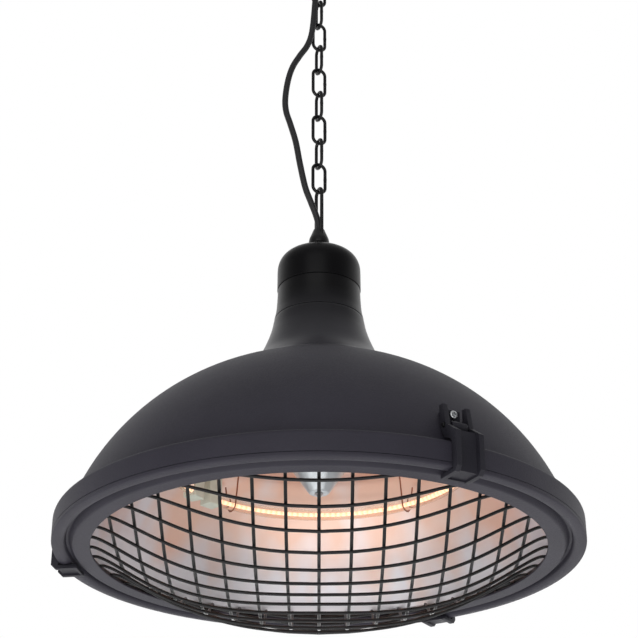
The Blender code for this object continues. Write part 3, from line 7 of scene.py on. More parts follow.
import math
from collections import namedtuple

import bmesh
import bpy
import numpy as np
from bpy.props import FloatProperty, FloatVectorProperty, IntProperty, PointerProperty
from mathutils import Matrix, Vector


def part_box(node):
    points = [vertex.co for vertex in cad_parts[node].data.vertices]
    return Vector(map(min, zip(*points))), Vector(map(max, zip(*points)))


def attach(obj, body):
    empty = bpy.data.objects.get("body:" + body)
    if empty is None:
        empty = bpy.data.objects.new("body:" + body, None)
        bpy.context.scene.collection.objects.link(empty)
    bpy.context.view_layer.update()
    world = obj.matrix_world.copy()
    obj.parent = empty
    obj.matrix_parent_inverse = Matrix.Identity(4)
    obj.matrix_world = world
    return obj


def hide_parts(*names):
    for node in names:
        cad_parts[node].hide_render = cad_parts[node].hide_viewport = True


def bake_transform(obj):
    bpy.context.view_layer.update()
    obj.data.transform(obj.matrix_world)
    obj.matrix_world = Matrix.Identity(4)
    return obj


bl_info = {
    "name": "Hanging Patio Heater",
    "version": (1, 0, 0),
    "blender": (4, 5, 0),
    "location": "3D View > Sidebar > Heater",
    "description": "Builds the finished surfaces of a hanging patio heater round its CAD frame",
    "category": "Object",
}

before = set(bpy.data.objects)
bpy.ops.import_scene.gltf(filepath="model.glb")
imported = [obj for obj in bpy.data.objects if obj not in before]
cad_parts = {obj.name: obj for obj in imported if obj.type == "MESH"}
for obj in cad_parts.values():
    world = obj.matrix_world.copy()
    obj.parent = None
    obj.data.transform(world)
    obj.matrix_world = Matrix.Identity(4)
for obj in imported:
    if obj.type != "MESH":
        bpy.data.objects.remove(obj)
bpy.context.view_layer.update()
RIM_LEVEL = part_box("dome_shade")[0].z

# Shade: an arc whose centre lies beside and below the middle, with a flat top and a collar
RIM_RADIUS = 0.2125
SHADE_ARC_RADIUS = 0.197
SHADE_ARC_ASIDE = 0.014
SHADE_ARC_DROP = 0.042
SHADE_FLAT_RADIUS = 0.066
SHADE_HOLE_RADIUS = 0.028
SHADE_WALL = 0.0015
COLLAR_HEIGHT = 0.0168
COLLAR_ROUND = 0.0036
COLLAR_FILLET_HEIGHT = 0.0205
COLLAR_FILLET_RUN = 0.0018
COLLAR_FILLET_RISE = 0.0002
COLLAR_FILLET_ROUND = 0.0022

# Rim ring: a rounded lip, a groove beside it and a flat flange round the opening
RING_CORNERS = (
    (0.2125, -0.0003, 0.0004),
    (0.2125, -0.0034, 0.0022),
    (0.2086, -0.0042, 0.0030),
    (0.2052, -0.0042, 0.0025),
    (0.2021, -0.0026, 0.0018),
    (0.2012, 0.0016, 0.0009),
    (0.1990, 0.0016, 0.0010),
    (0.1955, -0.0039, 0.0014),
    (0.1820, -0.0039, 0.0012),
    (0.1820, -0.0021, 0.0005),
    (0.1955, -0.0020, 0.0010),
    (0.1982, 0.0031, 0.0010),
    (0.2020, 0.0031, 0.0010),
    (0.2037, -0.0003, 0.0008),
)

# Grille: a dish of wires, its drop given by depth (1 - (r / R)^p)^q
GRILLE_RIM_RADIUS = 0.187
GRILLE_RIM_WIRE_RADIUS = 0.002
GRILLE_DISH_RADIUS = 0.1812
GRILLE_DEPTH = 0.0468
GRILLE_DISH_POWER = 3.5
GRILLE_EDGE_POWER = 1.45
GRILLE_FLANGE_LEVEL = -0.0020

# Neck: the band's outside as (radius, rise above its foot) and the bell's as (radius, fall)
SEAT_GAP = 0.0003
NECK_WALL = 0.0025
NECK_STEP = 0.0015
STEM_CLEAR_RADIUS = 0.0058
CAP_RADIUS = 0.0364
CAP_CROWN_HEIGHT = 0.0234
CAP_SKIRT_HEIGHT = 0.0155
CAP_EDGE_WIDTH = 0.002
CAP_EDGE_ROUND = 0.0007
CROWN_POWER = 0.7
BAND_FLOOR = 0.002
BAND_FOOT_RADIUS = 0.0382
BAND_BORE_RADIUS = 0.006
BAND_CORNERS = (
    (0.03590, 0.0288),
    (0.03621, 0.0195),
    (0.03671, 0.0119),
    (0.03730, 0.0068),
    (0.03860, 0.0006),
)
BELL_FALL = (
    (0.03880, 0.0006),
    (0.04113, 0.0120),
    (0.04540, 0.0246),
    (0.05110, 0.0371),
    (0.05830, 0.0469),
    (0.06220, 0.0507),
)
BELL_LIP_FALL = ((0.0382, 0.0), (0.0386, 0.0002))
BELL_FOOT_RADIUS = 0.0640
BELL_FOOT_HEIGHT = 0.0042
BELL_FOOT_ROUND = 0.0014

# Gland on top of the cap: the cone nut's outside is (radius, fall below its top, rounding)
WASHER_RADIUS = 0.0098
SEAL_RADIUS = 0.0086
CONE_NUT_RADIUS = 0.0091
CONE_NUT_SOCKET = 0.0027
CONE_NUT_FALL = (
    (0.0048, 0.0000, 0.0009),
    (0.0056, 0.0023, 0.0020),
    (0.0070, 0.0058, 0.0030),
    (0.0087, 0.0101, 0.0030),
    (CONE_NUT_RADIUS, 0.0130, 0.0010),
)

# Clamps and their pan-head screws
CLAMP_AZIMUTHS = (math.radians(-61.2), math.radians(58.8), math.radians(171.3))
SCREW_HEIGHT = 0.0428
SCREW_BACK = 0.1988
SCREW_TIP = 0.1935
SCREW_HEAD = 0.0022
SCREW_HEAD_RADIUS = 0.003
SCREW_HEAD_EDGE = 0.0002
SCREW_DOME_FALL = 0.0011
SCREW_DOME_RADIUS = 0.00305
SCREW_MIDDLE_RADIUS = 0.00002
SCREW_RECESS_RADIUS = 0.0021
SCREW_RIM_RADIUS = 0.0022
SCREW_SHANK_RADIUS = 0.0015
CROSS_WIDTH = 0.00042
CROSS_LENGTH = 0.0016
CROSS_DEPTH = 0.0011
CROSS_WALL_WIDTH = 0.00012
CROSS_END_WIDTH = 0.0004

# Suspension, chain and hook
LOOP_WIRE_RADIUS = 0.0016
LOOP_BOW_RADIUS = 0.006
LOOP_RISE = 0.0408
LINK_INNER_LENGTH = 0.0267
LINK_WIRE_RADIUS = 0.0015
LINK_BOW_RADIUS = 0.006
WELD_LENGTH = 0.0012
WELD_SWELL = 0.10
HOOK_WIRE_RADIUS = 0.0025
HOOK_BOW_RADIUS = 0.009
HOOK_STRAIGHT = 0.004
HOOK_STEP = 0.0012
HOOK_TURN = (math.radians(62.0), math.radians(-170.0))
CHAIN_TURN = math.radians(24.0)
WIDE = np.array([math.cos(CHAIN_TURN), math.sin(CHAIN_TURN), 0.0])
NARROW = np.array([math.sin(CHAIN_TURN), -math.cos(CHAIN_TURN), 0.0])
UP = np.array([0.0, 0.0, 1.0])

# The cord's route above the rim plane, from the terminal block up to the canopy
CORD_ROUTE = (
    (0.0000, 0.0000, 0.2400),
    (0.0000, 0.0000, 0.2620),
    (0.0000, 0.0000, 0.2820),
    (0.0000, 0.0000, 0.2960),
    (-0.0007, -0.0003, 0.3050),
    (-0.0030, -0.0013, 0.3140),
    (-0.0075, -0.0034, 0.3260),
    (-0.0124, -0.0052, 0.3400),
    (-0.0171, -0.0068, 0.3630),
    (-0.0212, -0.0075, 0.3870),
    (-0.0262, -0.0078, 0.4060),
    (-0.0302, -0.0080, 0.4200),
    (-0.0312, -0.0081, 0.4340),
    (-0.0290, -0.0081, 0.4540),
    (-0.0248, -0.0081, 0.4700),
    (-0.0182, -0.0081, 0.4830),
    (-0.0115, -0.0082, 0.4940),
    (-0.0075, -0.0084, 0.5060),
    (-0.0056, -0.0087, 0.5200),
    (-0.0045, -0.0089, 0.5340),
    (-0.0036, -0.0086, 0.5470),
    (-0.0016, -0.0066, 0.5550),
    (-0.0002, -0.0034, 0.5590),
    (0.0000, 0.0000, 0.5620),
    (0.0002, 0.0034, 0.5650),
    (0.0018, 0.0069, 0.5695),
    (0.0034, 0.0087, 0.5760),
    (0.0052, 0.0103, 0.5900),
    (0.0078, 0.0120, 0.6040),
    (0.0095, 0.0130, 0.6160),
    (0.0095, 0.0130, 0.6280),
    (0.0095, 0.0130, 0.6400),
)
CORD_DIAMETER = 0.0057
CORD_LOW_JOIN = 0.312
CORD_HIGH_JOIN = 0.6054
CORD_HELD_HIGH = 0.616
CORD_HELD_LOW = 0.300
CORD_STEP = 0.0012
CORD_RING_STEP = 0.0015

# Lamp and reflector
LAMP_RADIUS = 0.125
LAMP_TUBE_RADIUS = 0.005
FILAMENT_RADIUS = 0.0011
FILAMENT_PITCH = 0.0052
LAMP_HEIGHT = 0.076
LAMP_GAP_AZIMUTH = math.radians(144.0)
LAMP_HALF_GAP = 0.019
REFLECTOR_HEIGHT = 0.109
REFLECTOR_FOOT = 0.005
REFLECTOR_FOOT_RADIUS = 0.1895
REFLECTOR_LIP_RADIUS = 0.196
REFLECTOR_CROWN_RADIUS = 0.100
REFLECTOR_FLAT_RADIUS = 0.09
REFLECTOR_HOLE_RADIUS = 0.0024
REFLECTOR_WALL = 0.001
REFLECTOR_STEP = 0.004
REFLECTOR_SHARES = ((0.30, 0.95), (0.56, 0.78), (0.76, 0.51), (0.90, 0.21))
CONE_TOP_RADIUS = 0.0470
CONE_TOP_INNER_RADIUS = 0.0455
CONE_BEND = (0.0290, 0.0280, 0.0040)
CONE_TIP_RADIUS = 0.0080
CONE_TIP_INNER_RADIUS = 0.0078
CONE_HOLE_RADIUS = 0.0023
CONE_WALL = 0.0012

# Mending of meshes
MERGE_DISTANCE = 0.000001
CAD_MERGE_DISTANCE = 0.000002
FLAT_ANGLE = math.radians(1.0)
EDGE_ANGLE = math.radians(28.0)
CAD_SHARP_ANGLE = math.radians(35.0)
SCREW_SHARP_ANGLE = math.radians(30.0)

# Studio: each light is (name, place, size, watts, target), with heights above the rim plane
FLOOR_HALF_WIDTH = 4.0
FLOOR_DROP = 1.5
LIGHT_TARGET = (0.0, 0.0, 0.1)
LIGHTS = (
    ("left_softbox", (-2.1, 0.0, -0.2), 2.4, 9.0, LIGHT_TARGET),
    ("right_softbox", (2.1, 0.3, 0.0), 2.4, 8.0, LIGHT_TARGET),
    ("front_softbox", (-0.3, -2.0, 0.5), 1.8, 12.5, LIGHT_TARGET),
    ("low_softbox", (-0.2, -0.8, -1.3), 3.0, 36.0, LIGHT_TARGET),
    ("floor_wash", (0.0, 3.0, 0.3), 1.6, 60.0, (0.0, 2.2, -1.5)),
)
IMAGE_PIXELS = 638.0
FOCAL_PIXELS = 1550.0
SENSOR_WIDTH = 36.0
CAMERA_BACK = 1.19164
CAMERA_DROP = 0.40162
CAMERA_TILT = 0.473818

# Finishes: grain, mottle and relief are in metres, and roughness varies between two values
Finish = namedtuple(
    "Finish", "sockets colour grain mottle contrast relief roughness stretch", defaults=[(1, 1, 1)]
)
COAT = {"IOR": 1.5, "Specular IOR Level": 0.22}
METAL = {"Metallic": 1.0}
QUARTZ = {"IOR": 1.46, "Transmission Weight": 1.0}
FINISHES = {
    # Polyester powder coat, cured to a fine dry grain that scatters light softly
    "charcoal_powder_coat": Finish(COAT, "coat", 0.0011, 0.05, 0.10, 0.00026, (0.46, 0.68)),
    # The clamps' copy is darker as painted shade, standing in for the shade that falls on the
    # clamps.
    "black_powder_coat": Finish(COAT, "clamp", 0.0011, 0.05, 0.10, 0.00026, (0.46, 0.68)),
    # Thin black dip coat on steel wire, smoother than the powder coat and a little glossy
    "black_coated_wire": Finish(
        {"IOR": 1.5, "Specular IOR Level": 0.3}, "wire", 0.0012, 0.015, 0.16, 0.00004, (0.30, 0.46)
    ),
    # Bright zinc plating, with the faint cloudy spangle of its passivation
    "zinc_plate": Finish(METAL, "zinc", 0.0010, 0.004, 0.10, 0.00002, (0.20, 0.36)),
    # Steel wire that the lamp's heat has turned a coppery brown
    "heat_coloured_wire": Finish(METAL, "scaled", 0.0008, 0.003, 0.20, 0.00002, (0.28, 0.44)),
    # Etched aluminium of the cone, a pale grey with a soft satin sheen
    "etched_aluminium": Finish(METAL, "cone", 0.0009, 0.012, 0.06, 0.00003, (0.30, 0.42)),
    # Pressed steatite with a dry matt skin
    "pressed_steatite": Finish({"IOR": 1.6}, "ceramic", 0.0008, 0.006, 0.06, 0.00004, (0.50, 0.70)),
    # Extruded rubber sheath, matt with fine lines along its length
    "extruded_rubber_sheath": Finish(
        {"IOR": 1.5}, "sheath", 0.0009, 0.012, 0.14, 0.00004, (0.44, 0.62), (1, 1, 0.2)
    ),
    # Moulded polyamide of terminal blocks, pale and slightly glossy
    "terminal_polyamide": Finish(
        {"IOR": 1.53}, "housing", 0.0012, 0.008, 0.05, 0.00003, (0.34, 0.46)
    ),
    # Clear fused quartz with a slight waviness from drawing the tube
    "clear_quartz": Finish(QUARTZ, "quartz", 0.004, 0.02, 0.02, 0.00001, (0.02, 0.06)),
    # Matt painted studio floor, with a very faint unevenness from the roller
    "painted_studio_floor": Finish({"IOR": 1.45}, "floor", 0.02, 0.6, 0.012, 0.0002, (0.75, 0.85)),
}
NYLON = Finish({}, "nylon", 0.0016, 0.03, 0.12, 0.00006, (0.28, 0.40))

CHAIN_LINKS = sorted(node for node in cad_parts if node.startswith("chain_link_"))


def linear(hex_colour):
    """Linear RGBA of an sRGB hex colour."""
    channels = np.array([int(hex_colour[i : i + 2], 16) for i in (1, 3, 5)]) / 255.0
    high = ((channels + 0.055) / 1.055) ** 2.4
    return (*np.where(channels <= 0.04045, channels / 12.92, high).tolist(), 1.0)


def colour_property(name, description, hex_colour):
    default = linear(hex_colour)
    return FloatVectorProperty(
        name=name, description=description, default=default, size=4, min=0, max=1, subtype="COLOR"
    )


def length_property(name, description, default):
    return FloatProperty(
        name=name, description=description, default=default, min=0.0, unit="LENGTH", precision=5
    )


class HeaterSizes(bpy.types.PropertyGroup):
    """Sizes of the finished surfaces."""

    large_steps: IntProperty(
        name="Large steps", description="Facets round the shade and rim", default=168, min=24
    )
    small_steps: IntProperty(
        name="Small steps", description="Facets round the neck and fittings", default=72, min=12
    )
    wire_sides: IntProperty(
        name="Wire sides", description="Facets round each wire and link", default=12, min=6
    )
    grille_pitch: length_property("Mesh pitch", "Distance between the grille's wires", 0.0238)
    grille_wire: length_property("Mesh wire", "Radius of the grille's wires", 0.0013)
    glow: FloatProperty(name="Glow", description="Brightness of the lamp", default=1.5, min=0.0)


class HeaterColours(bpy.types.PropertyGroup):
    """Colours of the finishes."""

    coat: colour_property("Coat", "Powder coat of the shade and ring", "#2e2c35")
    # Painted shade: this darker copy of the coat stands in for the shade that falls on the clamps.
    clamp: colour_property("Clamp", "Powder coat of the clamps, near black", "#222128")
    nylon: colour_property("Nylon", "Moulded neck pieces and gland", "#35343a")
    wire: colour_property("Wire", "Coat of the grille, chain and hook", "#0c0c0e")
    cone: colour_property("Cone", "Etched sheet of the centre cone", "#b9bdc0")
    zinc: colour_property("Zinc", "Plating of screws and rods", "#c2c4c6")
    scaled: colour_property("Hot wire", "Wire slings coloured by the lamp's heat", "#8f5f4a")
    aluminium: colour_property("Aluminium", "Bright sheet of the reflector", "#e7e4e8")
    # Partly painted lamp light: the reflector blends to this colour at random streaks and more
    # strongly round the lamp's height, standing in for the lamp's light on it.
    streak_and_lamp_glow: colour_property("Warm streak", "Sheet where the lamp's heat has tinted it", "#ecc8b7")
    quartz: colour_property("Quartz", "Clear tube of the lamp", "#fff1e2")
    filament: colour_property("Filament", "Glow of the wound filament", "#ffd8b6")
    ceramic: colour_property("Ceramic", "Lamp ends", "#c9cdbf")
    sheath: colour_property("Sheath", "Outside of the power cord", "#131316")
    housing: colour_property("Housing", "Terminal blocks", "#dcdcd8")
    floor: colour_property("Floor", "Floor of the studio", "#f4f4f4")


def sizes():
    return bpy.context.scene.heater_sizes


def colours():
    return bpy.context.scene.heater_colours


# Shapes


def unit(vectors):
    """Vectors scaled to length 1, along the last axis."""
    return vectors / np.linalg.norm(vectors, axis=-1, keepdims=True)


def circle(count):
    """Angles that share a full turn evenly."""
    return np.linspace(0.0, 2.0 * np.pi, count, endpoint=False)


def travelled(path):
    """Way covered along a path at each of its points."""
    return np.concatenate([[0.0], np.cumsum(np.linalg.norm(np.diff(path, axis=0), axis=1))])


def points_at(places, along, path):
    """Points of a path at the given ways along it."""
    return np.stack([np.interp(places, along, column) for column in path.T], axis=1)


def levels(node):
    """Heights of a CAD node's underside and top above the rim plane."""
    low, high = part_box(node)
    return low.z - RIM_LEVEL, high.z - RIM_LEVEL


def rounded(corners, closed=True, pieces=6):
    """Outline with each corner turned into a curve.

    Each corner (x, y, reach) becomes the quadratic curve from the point at reach before it to
    the point at reach after it, drawn towards the corner itself. Reach is kept under half of
    the shorter side. The ends of an open outline stay where they are.
    """
    corners = np.array(corners, float)
    places, reach = corners[:, :2], corners[:, 2]
    before, after = np.roll(places, 1, axis=0) - places, np.roll(places, -1, axis=0) - places
    shorter = np.minimum(np.linalg.norm(before, axis=1), np.linalg.norm(after, axis=1))
    reach = np.minimum(reach, shorter * 0.48)[:, None]
    first, last = places + unit(before) * reach, places + unit(after) * reach
    t = np.linspace(0.0, 1.0, pieces + 1)[:, None, None]
    curve = (1 - t) ** 2 * first + 2 * t * (1 - t) * places + t**2 * last
    turns = np.swapaxes(curve, 0, 1)
    if closed:
        return turns.reshape(-1, 2)
    return np.vstack([places[:1], turns[1:-1].reshape(-1, 2), places[-1:]])


def walled(outline, wall):
    """Closed profile of a shell: the outline, and back along the same line moved inwards.

    Inwards is to the right of the way the outline runs, by the wall's thickness.
    """
    run = unit(np.gradient(outline, axis=0))
    inner = outline + wall * np.stack([run[:, 1], -run[:, 0]], axis=1)
    return np.vstack([outline, inner[::-1]])


def smooth_line(points, step):
    """Points at equal steps on the Catmull-Rom curve through the given points.

    Between two points b and c, with a before and d after, the curve is half of
    2b + (c - a)t + (2a - 5b + 4c - d)t^2 + (3b - a - 3c + d)t^3, for t from 0 to 1.
    """
    nodes = np.array(points, float)
    nodes = np.vstack([2 * nodes[0] - nodes[1], nodes, 2 * nodes[-1] - nodes[-2]])
    a, b, c, d = nodes[:-3], nodes[1:-2], nodes[2:-1], nodes[3:]
    t = np.linspace(0.0, 1.0, 24, endpoint=False)[:, None, None]
    curve = 2 * b + (c - a) * t + (2 * a - 5 * b + 4 * c - d) * t**2
    curve = 0.5 * (curve + (3 * b - a - 3 * c + d) * t**3)
    fine = np.vstack([np.swapaxes(curve, 0, 1).reshape(-1, nodes.shape[1]), nodes[-2:-1]])
    along = travelled(fine)
    count = max(2, round(along[-1] / step))
    return points_at(np.linspace(0.0, along[-1], count + 1), along, fine)


def turned(profile, steps, level=RIM_LEVEL):
    """Grid of a profile turned about the upright axis: (r cos a, r sin a, height + level)."""
    radius, height = np.asarray(profile).T
    x, y = np.outer(radius, np.cos(circle(steps))), np.outer(radius, np.sin(circle(steps)))
    return np.stack([x, y, np.outer(height + level, np.ones(steps))], axis=-1)


def drawn(path, radius, sides, across, closed=False):
    """Grid of a round section drawn along a path: path + radius (side cos a + up sin a).

    Side is the part of the direction across that is square to the path, and up is square to
    both. Radius is one number or one for each point of the path.
    """
    path = np.asarray(path, float)
    if closed:
        along = unit(np.roll(path, -1, axis=0) - np.roll(path, 1, axis=0))
    else:
        along = unit(np.gradient(path, axis=0))
    across = np.broadcast_to(across, path.shape)
    side = unit(across - np.sum(across * along, axis=1, keepdims=True) * along)
    up = np.cross(along, side)
    angles = circle(sides)[None, :, None]
    reach = np.broadcast_to(radius, len(path))[:, None, None]
    ring = side[:, None] * np.cos(angles) + up[:, None] * np.sin(angles)
    return path[:, None] + reach * ring


def grid_faces(rows, columns, rows_closed, start=0):
    """Corner numbers of a grid's quads, whose columns close on themselves."""
    r, c = np.meshgrid(
        np.arange(rows if rows_closed else rows - 1), np.arange(columns), indexing="ij"
    )
    next_r, next_c = (r + 1) % rows, (c + 1) % columns
    here, beyond = r * columns + start, next_r * columns + start
    corners = [here + c, here + next_c, beyond + next_c, beyond + c]
    return np.stack(corners, axis=-1).reshape(-1, 4).tolist()


def mesh_of(name, grids, rows_closed=False, sharp=math.radians(40.0)):
    """One mesh of several grids of points, with end caps on those that don't close.

    Each point keeps its share of the way along its grid as the attribute along.
    """
    points, faces, shares, start = [], [], [], 0
    for grid in grids:
        rows, columns = grid.shape[:2]
        points.append(grid.reshape(-1, 3))
        shares.append(np.repeat(np.linspace(0.0, 1.0, rows), columns))
        faces += grid_faces(rows, columns, rows_closed, start)
        if not rows_closed:
            faces.append(list(range(start, start + columns)))
            faces.append(list(range(start + (rows - 1) * columns, start + rows * columns)))
        start += rows * columns
    mesh = bpy.data.meshes.new(name)
    mesh.from_pydata(np.vstack(points).tolist(), [], faces)
    attribute = mesh.attributes.new("along", "FLOAT", "POINT")
    attribute.data.foreach_set("value", np.concatenate(shares))
    bm = bmesh.new()
    bm.from_mesh(mesh)
    bmesh.ops.remove_doubles(bm, verts=bm.verts, dist=MERGE_DISTANCE)
    bmesh.ops.recalc_face_normals(bm, faces=bm.faces)
    bm.to_mesh(mesh)
    bm.free()
    mesh.shade_smooth()
    mesh.set_sharp_from_angle(angle=sharp)
    return mesh


def finished(name, mesh, body, material, *nodes):
    """An object of a mesh that rides on a body and stands for CAD nodes."""
    obj = bpy.data.objects.new(name, mesh)
    bpy.context.scene.collection.objects.link(obj)
    obj.data.materials.clear()
    obj.data.materials.append(material)
    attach(obj, body)
    if nodes:
        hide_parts(*nodes)
    return obj


def finish_turned(name, profile, steps, material, node):
    """A closed profile turned about the upright axis, as a finished piece of the heater."""
    finished(name, mesh_of(name, [turned(profile, steps)], True), "heater", material, node)


def softened_copy(node, edge):
    """Mesh of a CAD node with its flat faces merged and its edges rounded by a bevel."""
    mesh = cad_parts[node].data.copy()
    bm = bmesh.new()
    bm.from_mesh(mesh)
    bmesh.ops.remove_doubles(bm, verts=bm.verts, dist=CAD_MERGE_DISTANCE)
    bmesh.ops.dissolve_limit(bm, angle_limit=FLAT_ANGLE, verts=bm.verts, edges=bm.edges)
    bmesh.ops.connect_verts_concave(bm, faces=bm.faces)
    sharp = [e for e in bm.edges if e.is_manifold and e.calc_face_angle() > EDGE_ANGLE]
    bmesh.ops.bevel(
        bm, geom=sharp, offset=edge, segments=3, profile=0.5, affect="EDGES", clamp_overlap=True
    )
    bmesh.ops.recalc_face_normals(bm, faces=bm.faces)
    bm.to_mesh(mesh)
    bm.free()
    mesh.shade_smooth()
    mesh.set_sharp_from_angle(angle=CAD_SHARP_ANGLE)
    return mesh


# Finishes


def add_node(tree, kind, inputs=None, **settings):
    """Adds a node with its settings, and gives its inputs values or links from other sockets."""
    node = tree.nodes.new("ShaderNode" + kind)
    for key, value in settings.items():
        setattr(node, key, value)
    for key, value in (inputs or {}).items():
        if isinstance(value, bpy.types.NodeSocket):
            tree.links.new(value, node.inputs[key])
        else:
            node.inputs[key].default_value = value
    return node


def new_finish(name, **sockets):
    """An empty material: its node tree and its shader with the given socket values."""
    material = bpy.data.materials.new(name)
    material.use_nodes = True
    tree = material.node_tree
    tree.nodes.clear()
    shader = add_node(tree, "BsdfPrincipled", sockets)
    add_node(tree, "OutputMaterial", {"Surface": shader.outputs[0]})
    return material, tree, shader


def two_tones(tree, share, places, tones):
    """Colour that goes from one tone to the other as the share passes the two places."""
    ramp = add_node(tree, "ValToRGB", {"Fac": share})
    for element, place, tone in zip(ramp.color_ramp.elements, places, tones):
        element.position, element.color = place, (*tone[:3], 1.0)
    return ramp.outputs["Color"]


def surfaced(tree, shader, colour, grain, roughness, relief, strength=1.0):
    """Gives the shader its colour, and a grain that shows in its roughness and its relief."""
    spread = {"Value": grain, "To Min": roughness[0], "To Max": roughness[1]}
    spread = add_node(tree, "MapRange", spread)
    bump = add_node(tree, "Bump", {"Height": grain, "Strength": strength, "Distance": relief})
    tree.links.new(colour, shader.inputs["Base Color"])
    tree.links.new(spread.outputs[0], shader.inputs["Roughness"])
    tree.links.new(bump.outputs[0], shader.inputs["Normal"])


def grained(tree, shader, colour, look):
    """A finish's mottled colour and its fine grain."""
    place = add_node(tree, "TexCoord").outputs["Object"]
    place = add_node(tree, "Mapping", {"Vector": place, "Scale": look.stretch}).outputs[0]
    broad = add_node(tree, "TexNoise", {"Vector": place, "Scale": 1 / look.mottle, "Detail": 4.0})
    fine = add_node(tree, "TexNoise", {"Vector": place, "Scale": 1 / look.grain, "Detail": 2.5})
    tone = Vector(colour[:3])
    tones = tone * (1 - look.contrast), tone * (1 + look.contrast)
    tone = two_tones(tree, broad.outputs["Fac"], (0.3, 0.7), tones)
    surfaced(tree, shader, tone, fine.outputs["Fac"], look.roughness, look.relief)


def plain_finish(name):
    """A finish of the table FINISHES."""
    look = FINISHES[name]
    material, tree, shader = new_finish(name, **look.sockets)
    grained(tree, shader, getattr(colours(), look.colour), look)
    return material


def moulded_nylon(name, gloss):
    """Glass-filled nylon moulding: satin, with painted shade from charcoal at the bell's foot to
    black at the cap.
    """
    material, tree, shader = new_finish(name + "_nylon", IOR=1.53)
    shader.inputs["Specular IOR Level"].default_value = gloss
    grained(tree, shader, colours().nylon, NYLON)
    place = add_node(tree, "TexCoord").outputs["Object"]
    height = add_node(tree, "SeparateXYZ", {"Vector": place}).outputs["Z"]
    # Painted shade: the base colour is scaled down with height, to 0.08 of itself at the cap,
    # standing in for light that reaches the bell's foot and not the cap.
    painted_shade_scale = {"Value": height, "From Min": RIM_LEVEL + 0.150, "From Max": RIM_LEVEL + 0.225}
    painted_shade_scale = add_node(tree, "MapRange", {**painted_shade_scale, "To Min": 1.0, "To Max": 0.08})
    tone = {0: shader.inputs["Base Color"].links[0].from_socket, "Scale": painted_shade_scale.outputs[0]}
    tone = add_node(tree, "VectorMath", tone, operation="SCALE").outputs[0]
    tree.links.new(tone, shader.inputs["Base Color"])
    return material


def bright_aluminium():
    """Bright rolled aluminium sheet: faint drawing lines, random streaks, and painted lamp light
    round the lamp.
    """
    material, tree, shader = new_finish("bright_rolled_aluminium", Metallic=1.0)
    place = add_node(tree, "TexCoord").outputs["Object"]
    lines = add_node(tree, "Mapping", {"Vector": place, "Scale": (1.0, 1.0, 0.06)}).outputs[0]
    broad = add_node(tree, "TexNoise", {"Vector": lines, "Scale": 24.0, "Detail": 2.0})
    fine = add_node(tree, "TexNoise", {"Vector": lines, "Scale": 420.0, "Detail": 2.0})
    # Painted lamp light: the sheet blends further towards the glow colour as its height rises to
    # the lamp's, on top of broad noise that varies it at random.
    height = add_node(tree, "SeparateXYZ", {"Vector": place}).outputs["Z"]
    near = {"Value": height, "From Min": RIM_LEVEL + 0.01, "From Max": RIM_LEVEL + LAMP_HEIGHT}
    near = add_node(tree, "MapRange", {**near, "To Min": -0.12, "To Max": 0.22}).outputs[0]
    streak = {0: broad.outputs["Fac"], 1: near}
    streak = add_node(tree, "Math", streak, operation="ADD").outputs[0]
    tone = two_tones(tree, streak, (0.40, 0.74), (colours().aluminium, colours().streak_and_lamp_glow))
    surfaced(tree, shader, tone, fine.outputs["Fac"], (0.36, 0.50), 0.00004, strength=0.6)
    return material


def glowing_filament(turns):
    """Wound filament that glows gold, brighter on the crown of each turn."""
    colour = colours().filament
    material, tree, shader = new_finish("glowing_filament", Roughness=0.6)
    along = add_node(tree, "Attribute", attribute_name="along").outputs["Fac"]
    phase = add_node(tree, "Math", {0: along, 1: turns * math.pi}, operation="MULTIPLY")
    wave = add_node(tree, "Math", {0: phase.outputs[0]}, operation="SINE")
    crown = add_node(tree, "Math", {0: wave.outputs[0]}, operation="ABSOLUTE")
    glow = sizes().glow
    glow = {"Value": crown.outputs[0], "To Min": glow * 0.4, "To Max": glow}
    glow = add_node(tree, "MapRange", glow)
    shader.inputs["Base Color"].default_value = colour
    shader.inputs["Emission Color"].default_value = colour
    tree.links.new(glow.outputs[0], shader.inputs["Emission Strength"])
    return material


# Pieces


def shade_outline():
    """Outer skin of the shade: a flat top, then the arc (aside + R sin a, R cos a - drop)."""
    start = math.asin((SHADE_FLAT_RADIUS - SHADE_ARC_ASIDE) / SHADE_ARC_RADIUS)
    end = math.acos((COLLAR_FILLET_HEIGHT + SHADE_ARC_DROP) / SHADE_ARC_RADIUS)
    angles = np.linspace(start, end, 44)
    arc = SHADE_ARC_RADIUS * np.stack([np.sin(angles), np.cos(angles)], axis=1)
    arc += (SHADE_ARC_ASIDE, -SHADE_ARC_DROP)
    fillet = (arc[-1, 0] + COLLAR_FILLET_RUN, COLLAR_HEIGHT + COLLAR_FILLET_RISE)
    collar = rounded(
        [
            (*arc[-1], 0.0),
            (*fillet, COLLAR_FILLET_ROUND),
            (RIM_RADIUS, COLLAR_HEIGHT, COLLAR_ROUND),
            (RIM_RADIUS, 0.0, 0.0),
        ],
        closed=False,
    )
    return np.vstack([[(SHADE_HOLE_RADIUS, arc[0, 1])], arc, collar[1:]])


def cap_outline():
    """Outer skin of the cap: a crown of (R cos^p a, H sin^p a) over an upright skirt."""
    low = levels("neck_cap")[0]
    shoulder = low + CAP_SKIRT_HEIGHT
    first = math.acos((STEM_CLEAR_RADIUS / CAP_RADIUS) ** (1 / CROWN_POWER))
    angles = np.linspace(first, 0.0, 32)
    crown = np.stack(
        [
            CAP_RADIUS * np.cos(angles) ** CROWN_POWER,
            shoulder + CAP_CROWN_HEIGHT * np.sin(angles) ** CROWN_POWER,
        ],
        axis=1,
    )
    edge = (CAP_RADIUS, low, CAP_EDGE_ROUND)
    skirt = [(CAP_RADIUS, shoulder, 0.0), edge, (CAP_RADIUS - CAP_EDGE_WIDTH, low, 0.0)]
    skirt = rounded(skirt, closed=False)
    return np.vstack([crown, skirt[1:]])


